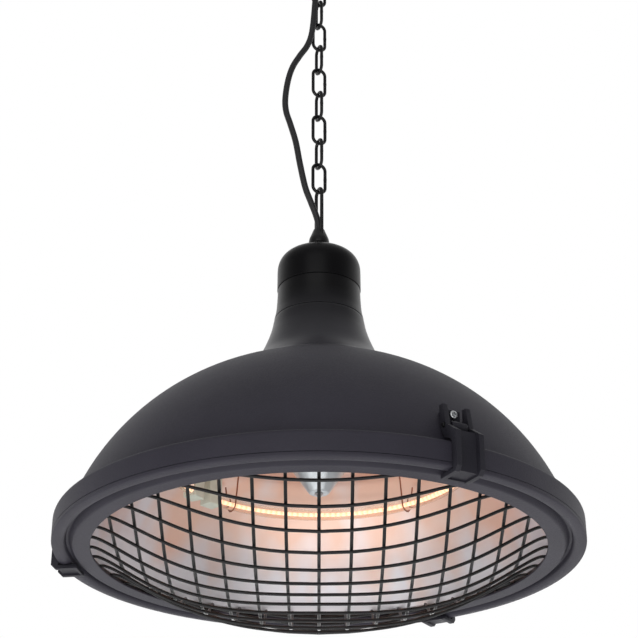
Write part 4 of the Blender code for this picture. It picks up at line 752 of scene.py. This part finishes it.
def bell_outline():
    """Outer skin of the bell: flush with the band at its top, then a flare to its foot."""
    low, high = levels("neck_bell")
    flare = smooth_line([(radius, high - fall) for radius, fall in BELL_FALL], NECK_STEP)
    foot = (BELL_FOOT_RADIUS, low + BELL_FOOT_HEIGHT, BELL_FOOT_ROUND)
    edge = rounded([(*flare[-1], 0.0), foot, (BELL_FOOT_RADIUS, low, 0.0)], closed=False)
    return np.vstack([[(radius, high - fall) for radius, fall in BELL_LIP_FALL], flare, edge[1:]])


def band_outline():
    """The band: its flaring outside, its floor and the bore in it."""
    low, high = levels("neck_band")
    outside = smooth_line([(radius, low + rise) for radius, rise in BAND_CORNERS], NECK_STEP)
    top = BAND_CORNERS[0][0]
    inner, floor = top - NECK_WALL, low + BAND_FLOOR
    inside = rounded(
        [
            (*outside[-1], 0.0),
            (BAND_FOOT_RADIUS, low, 0.0003),
            (BAND_BORE_RADIUS, low, 0.0004),
            (BAND_BORE_RADIUS, floor, 0.0004),
            (inner, floor, 0.001),
            (inner, high, 0.0003),
            (top, high, 0.0005),
            (*outside[0], 0.0),
        ],
        closed=False,
    )
    return np.vstack([outside, inside[1:-1]])


def reflector_outline():
    """Outer skin of the reflector: a flat crown, a smooth fall and a flat lip."""
    reach = REFLECTOR_FOOT_RADIUS - REFLECTOR_CROWN_RADIUS, REFLECTOR_HEIGHT - REFLECTOR_FOOT
    shares = np.array([(0.0, 1.0), *REFLECTOR_SHARES, (1.0, 0.0)])
    bowl = smooth_line(shares * reach + (REFLECTOR_CROWN_RADIUS, REFLECTOR_FOOT), REFLECTOR_STEP)
    crown = [(REFLECTOR_HOLE_RADIUS, REFLECTOR_HEIGHT), (REFLECTOR_FLAT_RADIUS, REFLECTOR_HEIGHT)]
    return np.vstack([crown, bowl, [(REFLECTOR_LIP_RADIUS, REFLECTOR_FOOT)]])


def grille_drop(radius):
    """How far the dish lies below a wire's level on the flange."""
    share = np.minimum(radius / GRILLE_DISH_RADIUS, 1.0)
    return GRILLE_DEPTH * (1 - share**GRILLE_DISH_POWER) ** GRILLE_EDGE_POWER


def wire_offsets(first, pitch):
    """Distances from the axis of one side's wires, a pitch apart along the dish."""
    radii = np.linspace(0.0, GRILLE_DISH_RADIUS, 400)
    along = travelled(np.stack([radii, grille_drop(radii)], axis=1))
    offsets = np.interp(np.arange(first, along[-1], pitch), along, radii)
    return offsets[offsets < GRILLE_DISH_RADIUS - GRILLE_RIM_WIRE_RADIUS]


def grille_wire_path(offset, level, crosswise):
    """One wire, from the rim over the flange's edge and across the dish."""
    reach = GRILLE_DISH_RADIUS - abs(offset)
    radii = GRILLE_DISH_RADIUS - reach * np.linspace(0.0, 1.0, 34) ** 1.3
    along = np.sqrt(np.maximum(radii**2 - offset**2, 0.0))
    rim = math.sqrt(GRILLE_RIM_RADIUS**2 - offset**2)
    half = np.vstack([[(rim, level)], np.stack([along, level - grille_drop(radii)], axis=1)])
    run = np.vstack([half, (half * (-1, 1))[::-1][1:]])
    still = np.full(len(run), offset)
    if crosswise:
        return np.stack([run[:, 0], still, run[:, 1] + RIM_LEVEL], axis=1)
    return np.stack([still, run[:, 0], run[:, 1] + RIM_LEVEL], axis=1)


def loop_seat():
    """Underside of the loop's bow, where the last link holds it."""
    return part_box("gland_cone_nut")[1].z + LOOP_RISE


def cross_head():
    """Grid of a pan-head screw on the axis: a cross recess in its domed end, then its shank."""
    fine = np.linspace(SCREW_MIDDLE_RADIUS, SCREW_RECESS_RADIUS, 30)
    radii = np.concatenate([fine, np.linspace(SCREW_RIM_RADIUS, SCREW_HEAD_RADIUS, 8)])
    rise = np.sqrt(np.maximum(1 - (radii / SCREW_DOME_RADIUS) ** 2, 0.0))
    head = turned(np.stack([radii, SCREW_HEAD - SCREW_DOME_FALL * (1 - rise)], axis=1), 96, 0.0)
    x, y = abs(head[..., 0]), abs(head[..., 1])
    across = np.clip((CROSS_WIDTH - np.minimum(x, y)) / CROSS_WALL_WIDTH + 0.5, 0.0, 1.0)
    ends = np.clip((CROSS_LENGTH - np.maximum(x, y)) / CROSS_END_WIDTH + 0.5, 0.0, 1.0)
    head[..., 2] -= CROSS_DEPTH * across * ends
    below = [
        (SCREW_HEAD_RADIUS, SCREW_HEAD_EDGE),
        (SCREW_HEAD_RADIUS - SCREW_HEAD_EDGE, 0.0),
        (SCREW_SHANK_RADIUS, 0.0),
        (SCREW_SHANK_RADIUS, SCREW_TIP - SCREW_BACK),
    ]
    return np.vstack([head, turned(below, 96, 0.0)])


def set_outwards(grid, azimuth, radial, height):
    """A grid whose upright axis is turned to point outwards from the heater at an azimuth."""
    out = np.array([math.cos(azimuth), math.sin(azimuth), 0.0])
    side = np.array([-math.sin(azimuth), math.cos(azimuth), 0.0])
    origin = radial * out + (height + RIM_LEVEL) * UP
    return origin + grid[..., :1] * side + grid[..., 1:2] * UP + grid[..., 2:] * out


class HEATER_OT_shade(bpy.types.Operator):
    """Builds the domed shade and the rim ring under it"""

    bl_idname = "heater.shade"
    bl_label = "Shade and Rim Ring"

    def execute(self, context):
        coat, steps = plain_finish("charcoal_powder_coat"), sizes().large_steps
        shade = walled(shade_outline(), SHADE_WALL)
        finish_turned("shade_shell", shade, steps, coat, "dome_shade")
        finish_turned("rim_ring_pressed", rounded(RING_CORNERS), steps, coat, "rim_ring")
        return {"FINISHED"}


class HEATER_OT_grille(bpy.types.Operator):
    """Builds the two layers of wire and the rim wire of the grille"""

    bl_idname = "heater.grille"
    bl_label = "Wire Grille"

    def execute(self, context):
        radius, pitch, sides = sizes().grille_wire, sizes().grille_pitch, sizes().wire_sides
        lower = GRILLE_FLANGE_LEVEL + SEAT_GAP + radius
        upper = lower + 2 * radius + SEAT_GAP
        grids = []
        for level, crosswise, first in ((lower, True, pitch / 2), (upper, False, 0.0)):
            across = np.array([0.0, 1.0, 0.0]) if crosswise else np.array([1.0, 0.0, 0.0])
            near = wire_offsets(first, pitch)
            for offset in np.unique(np.concatenate([-near, near])):
                path = grille_wire_path(float(offset), level, crosswise)
                grids.append(drawn(path, radius, sides, across))
        wires = mesh_of("grille_wires", grids)
        rim = turned([(GRILLE_RIM_RADIUS, (lower + upper) / 2)], 144)[0]
        rim = drawn(rim, GRILLE_RIM_WIRE_RADIUS, sides, UP, closed=True)
        ring = mesh_of("grille_rim", [rim], rows_closed=True)
        coat = plain_finish("black_coated_wire")
        finished("grille_wires", wires, "heater", coat, "wire_grille")
        finished("grille_rim", ring, "heater", coat, "wire_grille")
        return {"FINISHED"}


class HEATER_OT_neck(bpy.types.Operator):
    """Builds the bell, the band and the cap above the shade"""

    bl_idname = "heater.neck"
    bl_label = "Neck"

    def execute(self, context):
        steps = sizes().small_steps
        for piece, outline, gloss in (
            ("bell", walled(bell_outline(), NECK_WALL), 0.22),
            ("band", band_outline(), 0.18),
            ("cap", walled(cap_outline(), NECK_WALL), 0.12),
        ):
            nylon = moulded_nylon(piece, gloss)
            finish_turned(piece + "_shell", outline, steps, nylon, "neck_" + piece)
        return {"FINISHED"}


class HEATER_OT_suspension(bpy.types.Operator):
    """Builds the washer, seal, cone nut and wire loop on top of the cap"""

    bl_idname = "heater.suspension"
    bl_label = "Suspension"

    def execute(self, context):
        steps, sides = sizes().small_steps, sizes().wire_sides
        nylon = moulded_nylon("gland", 0.2)
        wire, rubber = plain_finish("black_coated_wire"), plain_finish("extruded_rubber_sheath")
        for node, radius, material in (
            ("gland_washer", WASHER_RADIUS, nylon),
            ("gland_seal", SEAL_RADIUS, rubber),
        ):
            low, high = levels(node)
            ring = rounded(
                [
                    (radius, high, 0.0008),
                    (radius, low, 0.0004),
                    (STEM_CLEAR_RADIUS, low, 0.0003),
                    (STEM_CLEAR_RADIUS, high, 0.0003),
                ]
            )
            finish_turned(node + "_moulded", ring, steps, material, node)
        low, high = levels("gland_cone_nut")
        bore, socket = CORD_DIAMETER / 2 + SEAT_GAP, low + CONE_NUT_SOCKET
        cone = rounded(
            [
                *((radius, high - fall, reach) for radius, fall, reach in CONE_NUT_FALL),
                (CONE_NUT_RADIUS, low, 0.0005),
                (STEM_CLEAR_RADIUS, low, 0.0002),
                (STEM_CLEAR_RADIUS, socket, 0.0002),
                (bore, socket, 0.0002),
                (bore, high, 0.0005),
            ]
        )
        finish_turned("cone_nut_turned", cone, steps, wire, "gland_cone_nut")
        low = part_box("suspension_loop")[0]
        centre = loop_seat() + LOOP_WIRE_RADIUS - LOOP_BOW_RADIUS
        angles = np.linspace(0.0, np.pi, 33)
        legs = np.linspace(low.z, centre, 12, endpoint=False)
        straight = np.ones(len(legs))
        across = LOOP_BOW_RADIUS * np.concatenate([straight, np.cos(angles), -straight])
        height = np.concatenate([legs, centre + LOOP_BOW_RADIUS * np.sin(angles), legs[::-1]])
        path = across[:, None] * NARROW + height[:, None] * UP
        loop = mesh_of("loop_bent_wire", [drawn(path, LOOP_WIRE_RADIUS, sides, WIDE)])
        finished("loop_bent_wire", loop, "heater", wire, "suspension_loop")
        return {"FINISHED"}


class HEATER_OT_chain(bpy.types.Operator):
    """Builds the links of the chain, each with its weld"""

    bl_idname = "heater.chain"
    bl_label = "Chain"

    def execute(self, context):
        material = plain_finish("black_coated_wire")
        sides = sizes().wire_sides + 2
        angles = np.linspace(0.0, np.pi, 21)
        half = LINK_INNER_LENGTH / 2 + LINK_WIRE_RADIUS - LINK_BOW_RADIUS
        straight = np.linspace(half, -half, 20)[1:-1]
        side, bow = np.ones(len(straight)), LINK_BOW_RADIUS * np.sin(angles)
        across = np.concatenate([np.cos(angles), -side, -np.cos(angles), side])
        rise = np.concatenate([half + bow, straight, -half - bow, straight[::-1]])
        weld = np.exp(-((rise / WELD_LENGTH) ** 2)) * (across > 0.99)
        radius = LINK_WIRE_RADIUS * (1 + WELD_SWELL * weld)
        for number, node in enumerate(CHAIN_LINKS, 1):
            middle = sum(levels(node)) / 2 + RIM_LEVEL
            in_plane, square = (NARROW, WIDE) if number % 2 else (WIDE, NARROW)
            path = LINK_BOW_RADIUS * across[:, None] * in_plane + (middle + rise[:, None]) * UP
            name = f"link_{number:02d}_welded"
            mesh = mesh_of(name, [drawn(path, radius, sides, square, True)], rows_closed=True)
            finished(name, mesh, f"link_{number}", material, node)
        return {"FINISHED"}


class HEATER_OT_cord(bpy.types.Operator):
    """Builds the power cord in stretches, as many as the chain has joints"""

    bl_idname = "heater.cord"
    bl_label = "Power Cord"

    def execute(self, context):
        line = smooth_line(CORD_ROUTE, CORD_STEP)[::-1] + RIM_LEVEL * UP
        along = travelled(line)
        bodies = ["canopy"] + [f"link_{n}" for n in range(1, len(CHAIN_LINKS) + 1)] + ["heater"]
        count = len(bodies) - 1
        top_join = np.interp(-CORD_HIGH_JOIN - RIM_LEVEL, -line[:, 2], along)
        low_join = np.interp(-CORD_LOW_JOIN - RIM_LEVEL, -line[:, 2], along)
        joins = np.concatenate([[0.0], np.linspace(top_join, low_join, count - 1), [along[-1]]])
        material = plain_finish("extruded_rubber_sheath")
        for number, (start, end) in enumerate(zip(joins, joins[1:]), 1):
            places = np.linspace(start, end, max(16, round((end - start) / CORD_RING_STEP)))
            path = points_at(places, along, line)
            name = f"cord_stretch_{number:02d}"
            tube = drawn(path, CORD_DIAMETER / 2, 16, np.array([1.0, 0.0, 0.0]))
            obj = bpy.data.objects.new(name, mesh_of(name, [tube]))
            context.scene.collection.objects.link(obj)
            obj.data.materials.append(material)
            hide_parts("power_cord")
            first, last = path[0].copy(), path[-1].copy()
            if number == 1:
                first = path[np.argmin(abs(path[:, 2] - RIM_LEVEL - CORD_HELD_HIGH))]
            if number == count:
                last = path[np.argmin(abs(path[:, 2] - RIM_LEVEL - CORD_HELD_LOW))]
            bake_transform(obj)
        return {"FINISHED"}


class HEATER_OT_reflector(bpy.types.Operator):
    """Builds the bright reflector bowl and its centre cone"""

    bl_idname = "heater.reflector"
    bl_label = "Reflector"

    def execute(self, context):
        bowl, metal = walled(reflector_outline(), REFLECTOR_WALL), bright_aluminium()
        finish_turned("reflector_spun", bowl, sizes().large_steps, metal, "reflector_bowl")
        low, high = levels("centre_cone")
        bend, fall, bend_round = CONE_BEND
        cone = rounded(
            [
                (CONE_TOP_RADIUS, high, 0.0004),
                (bend, high - fall, bend_round),
                (CONE_TIP_RADIUS, low, 0.0016),
                (CONE_HOLE_RADIUS, low, 0.0003),
                (CONE_HOLE_RADIUS, low + CONE_WALL, 0.0003),
                (CONE_TIP_INNER_RADIUS, low + CONE_WALL, 0.001),
                (CONE_TOP_INNER_RADIUS, high, 0.0004),
            ]
        )
        etched = plain_finish("etched_aluminium")
        finish_turned("cone_spun", cone, sizes().small_steps, etched, "centre_cone")
        return {"FINISHED"}


class HEATER_OT_lamp(bpy.types.Operator):
    """Builds the quartz ring with its glowing filament and softens its ceramic ends"""

    bl_idname = "heater.lamp"
    bl_label = "Ring Lamp"

    def execute(self, context):
        half_gap = LAMP_HALF_GAP / LAMP_RADIUS
        angles = np.linspace(
            LAMP_GAP_AZIMUTH + half_gap, LAMP_GAP_AZIMUTH + 2 * np.pi - half_gap, 240
        )
        level = np.full(len(angles), LAMP_HEIGHT + RIM_LEVEL)
        path = np.stack([LAMP_RADIUS * np.cos(angles), LAMP_RADIUS * np.sin(angles), level], axis=1)
        tube = mesh_of("quartz_ring", [drawn(path, LAMP_TUBE_RADIUS, 20, UP)])
        finished("quartz_ring", tube, "heater", plain_finish("clear_quartz"), "lamp_tube")
        turns = LAMP_RADIUS * 2 * np.pi / FILAMENT_PITCH
        coil = mesh_of("filament_ring", [drawn(path, FILAMENT_RADIUS, 12, UP)])
        finished("filament_ring", coil, "heater", glowing_filament(turns), "lamp_tube")
        steatite = plain_finish("pressed_steatite")
        for node in ("lamp_end_left", "lamp_end_right"):
            finished(node + "_pressed", softened_copy(node, 0.0008), "heater", steatite, node)
        return {"FINISHED"}


class HEATER_OT_clamps(bpy.types.Operator):
    """Finishes the three clamps: arms, lugs, pins and cross-head screws"""

    bl_idname = "heater.clamps"
    bl_label = "Clamps"

    def execute(self, context):
        # Painted shade: the arms and lugs take the darker copy of the coat.
        coat = plain_finish("black_powder_coat")
        zinc, wire = plain_finish("zinc_plate"), plain_finish("black_coated_wire")
        for number, azimuth in enumerate(CLAMP_AZIMUTHS, 1):
            arm, lug, pin, screw = (
                f"clamp_{kind}_{number}" for kind in ("arm", "lug", "pin", "screw")
            )
            body = f"clamp_{number}"
            finished(arm + "_pressed", softened_copy(arm, 0.0005), body, coat, arm)
            finished(lug + "_cast", softened_copy(lug, 0.0006), "heater", coat, lug)
            finished(pin + "_turned", softened_copy(pin, 0.0003), body, wire, pin)
            head = set_outwards(cross_head(), azimuth, SCREW_BACK, SCREW_HEIGHT)
            head = mesh_of(screw + "_cross_head", [head], sharp=SCREW_SHARP_ANGLE)
            finished(screw + "_cross_head", head, "heater", zinc, screw)
        return {"FINISHED"}


class HEATER_OT_canopy(bpy.types.Operator):
    """Builds the ceiling canopy, its gland, its plate and the hook"""

    bl_idname = "heater.canopy"
    bl_label = "Canopy"

    def execute(self, context):
        nylon = moulded_nylon("canopy", 0.2)
        wire, rubber = plain_finish("black_coated_wire"), plain_finish("extruded_rubber_sheath")
        zinc = plain_finish("zinc_plate")
        canopy = {
            "canopy_cup": (nylon, 0.0006),
            "canopy_gland": (rubber, 0.0005),
            "canopy_plate": (zinc, 0.0004),
            "canopy_screw_1": (zinc, 0.0003),
            "canopy_screw_2": (zinc, 0.0003),
        }
        for node, (material, edge) in canopy.items():
            finished(node + "_finished", softened_copy(node, edge), "canopy", material, node)
        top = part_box("canopy_hook")[1].z
        seat = loop_seat() + len(CHAIN_LINKS) * (LINK_INNER_LENGTH - SEAT_GAP) - SEAT_GAP
        bow_centre = seat - HOOK_WIRE_RADIUS + HOOK_BOW_RADIUS
        angles = np.linspace(*HOOK_TURN, 48)
        bow = HOOK_BOW_RADIUS * np.stack([np.cos(angles), np.sin(angles)], axis=1)
        bow += (0.0, bow_centre)
        foot = bow_centre + HOOK_BOW_RADIUS + HOOK_WIRE_RADIUS
        shank = [(0.0, top), (0.0, foot + HOOK_STRAIGHT), (0.0, foot), tuple(bow[0])]
        run = np.vstack([smooth_line(shank, HOOK_STEP)[:-1], bow])
        path = run[:, :1] * WIDE + run[:, 1:] * UP
        hook = mesh_of("hook_bent", [drawn(path, HOOK_WIRE_RADIUS, 16, NARROW)])
        finished("hook_bent", hook, "canopy", wire, "canopy_hook")
        return {"FINISHED"}


class HEATER_OT_inner_pieces(bpy.types.Operator):
    """Gives the pieces inside the neck and the shade their finishes"""

    bl_idname = "heater.inner_pieces"
    bl_label = "Inner Pieces"

    def execute(self, context):
        zinc, metal = plain_finish("zinc_plate"), bright_aluminium()
        housing, wire = plain_finish("terminal_polyamide"), plain_finish("black_coated_wire")
        finishes = {
            "terminal_block": housing,
            "canopy_terminal_block": housing,
            "heat_shield": metal,
            "hollow_stem": wire,
        }
        hot = plain_finish("heat_coloured_wire")
        finishes |= {f"lamp_sling_{number}": hot for number in (1, 2, 3)}
        for node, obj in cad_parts.items():
            if not obj.hide_render:
                obj.data.materials.clear()
                obj.data.materials.append(finishes.get(node, zinc))
        return {"FINISHED"}


class HEATER_OT_stage(bpy.types.Operator):
    """Sets the floor, the studio light and the camera"""

    bl_idname = "heater.stage"
    bl_label = "Stage"

    def execute(self, context):
        scene = context.scene
        scene.view_settings.view_transform = "Standard"
        mesh = bpy.data.meshes.new("floor")
        half, level = FLOOR_HALF_WIDTH, RIM_LEVEL - FLOOR_DROP
        corners = [(x * half, y * half, level) for x, y in ((-1, -1), (1, -1), (1, 1), (-1, 1))]
        mesh.from_pydata(corners, [], [(0, 1, 2, 3)])
        floor = bpy.data.objects.new("floor", mesh)
        scene.collection.objects.link(floor)
        mesh.materials.append(plain_finish("painted_studio_floor"))
        for name, place, size, watts, target in LIGHTS:
            data = bpy.data.lights.new(name, "AREA")
            data.size, data.energy = size, watts
            lamp = bpy.data.objects.new(name, data)
            lamp.location = Vector(place) + Vector((0.0, 0.0, RIM_LEVEL))
            aim = Vector(target) - Vector(place)
            lamp.rotation_euler = aim.to_track_quat("-Z", "Y").to_euler()
            scene.collection.objects.link(lamp)
        self.world(scene)
        self.camera(scene)
        return {"FINISHED"}

    def world(self, scene):
        """White to the camera; elsewhere bright behind and above the heater and dim before it."""
        world = bpy.data.worlds.new("studio")
        world.use_nodes = True
        tree = world.node_tree
        tree.nodes.clear()
        direction = add_node(tree, "TexCoord").outputs["Generated"]
        parts = add_node(tree, "SeparateXYZ", {"Vector": direction}).outputs
        strength = add_node(tree, "LightPath").outputs["Is Camera Ray"]
        for axis, start, end, brightest in (("Y", -0.1, 0.6, 1.0), ("Z", 0.5, 0.95, 0.6)):
            side = {"Value": parts[axis], "From Min": start, "From Max": end}
            side = add_node(tree, "MapRange", {**side, "To Min": 0.2, "To Max": brightest})
            pair = {0: strength, 1: side.outputs[0]}
            strength = add_node(tree, "Math", pair, operation="MAXIMUM").outputs[0]
        background = add_node(tree, "Background", {"Color": (1, 1, 1, 1), "Strength": strength})
        add_node(tree, "OutputWorld", {"Surface": background.outputs[0]})
        scene.world = world

    def camera(self, scene):
        data = bpy.data.cameras.new("camera")
        data.sensor_width = SENSOR_WIDTH
        data.lens = FOCAL_PIXELS / IMAGE_PIXELS * SENSOR_WIDTH
        camera = bpy.data.objects.new("camera", data)
        camera.location = (0.0, -CAMERA_BACK, RIM_LEVEL - CAMERA_DROP)
        camera.rotation_euler = (math.radians(90.0) + CAMERA_TILT, 0.0, 0.0)
        scene.collection.objects.link(camera)
        scene.camera = camera


class HEATER_PT_panel(bpy.types.Panel):
    """Lists the heater's pieces in the sidebar"""

    bl_idname = "HEATER_PT_panel"
    bl_label = "Hanging Patio Heater"
    bl_space_type = "VIEW_3D"
    bl_region_type = "UI"
    bl_category = "Heater"

    def draw(self, context):
        for operator in OPERATORS:
            self.layout.operator(operator.bl_idname)
        for group in (context.scene.heater_sizes, context.scene.heater_colours):
            column = self.layout.column()
            for name in group.bl_rna.properties.keys():
                if name not in ("rna_type", "name"):
                    column.prop(group, name)


OPERATORS = (
    HEATER_OT_stage,
    HEATER_OT_cord,
    HEATER_OT_shade,
    HEATER_OT_grille,
    HEATER_OT_neck,
    HEATER_OT_suspension,
    HEATER_OT_chain,
    HEATER_OT_reflector,
    HEATER_OT_lamp,
    HEATER_OT_clamps,
    HEATER_OT_canopy,
    HEATER_OT_inner_pieces,
)
CLASSES = (HeaterSizes, HeaterColours, *OPERATORS, HEATER_PT_panel)


def register():
    for cls in CLASSES:
        bpy.utils.register_class(cls)
    bpy.types.Scene.heater_sizes = PointerProperty(type=HeaterSizes)
    bpy.types.Scene.heater_colours = PointerProperty(type=HeaterColours)


def unregister():
    del bpy.types.Scene.heater_colours
    del bpy.types.Scene.heater_sizes
    for cls in reversed(CLASSES):
        bpy.utils.unregister_class(cls)


def main():
    register()
    for operator in OPERATORS:
        group, action = operator.bl_idname.split(".")
        getattr(getattr(bpy.ops, group), action)()


if __name__ == "__main__":
    main()
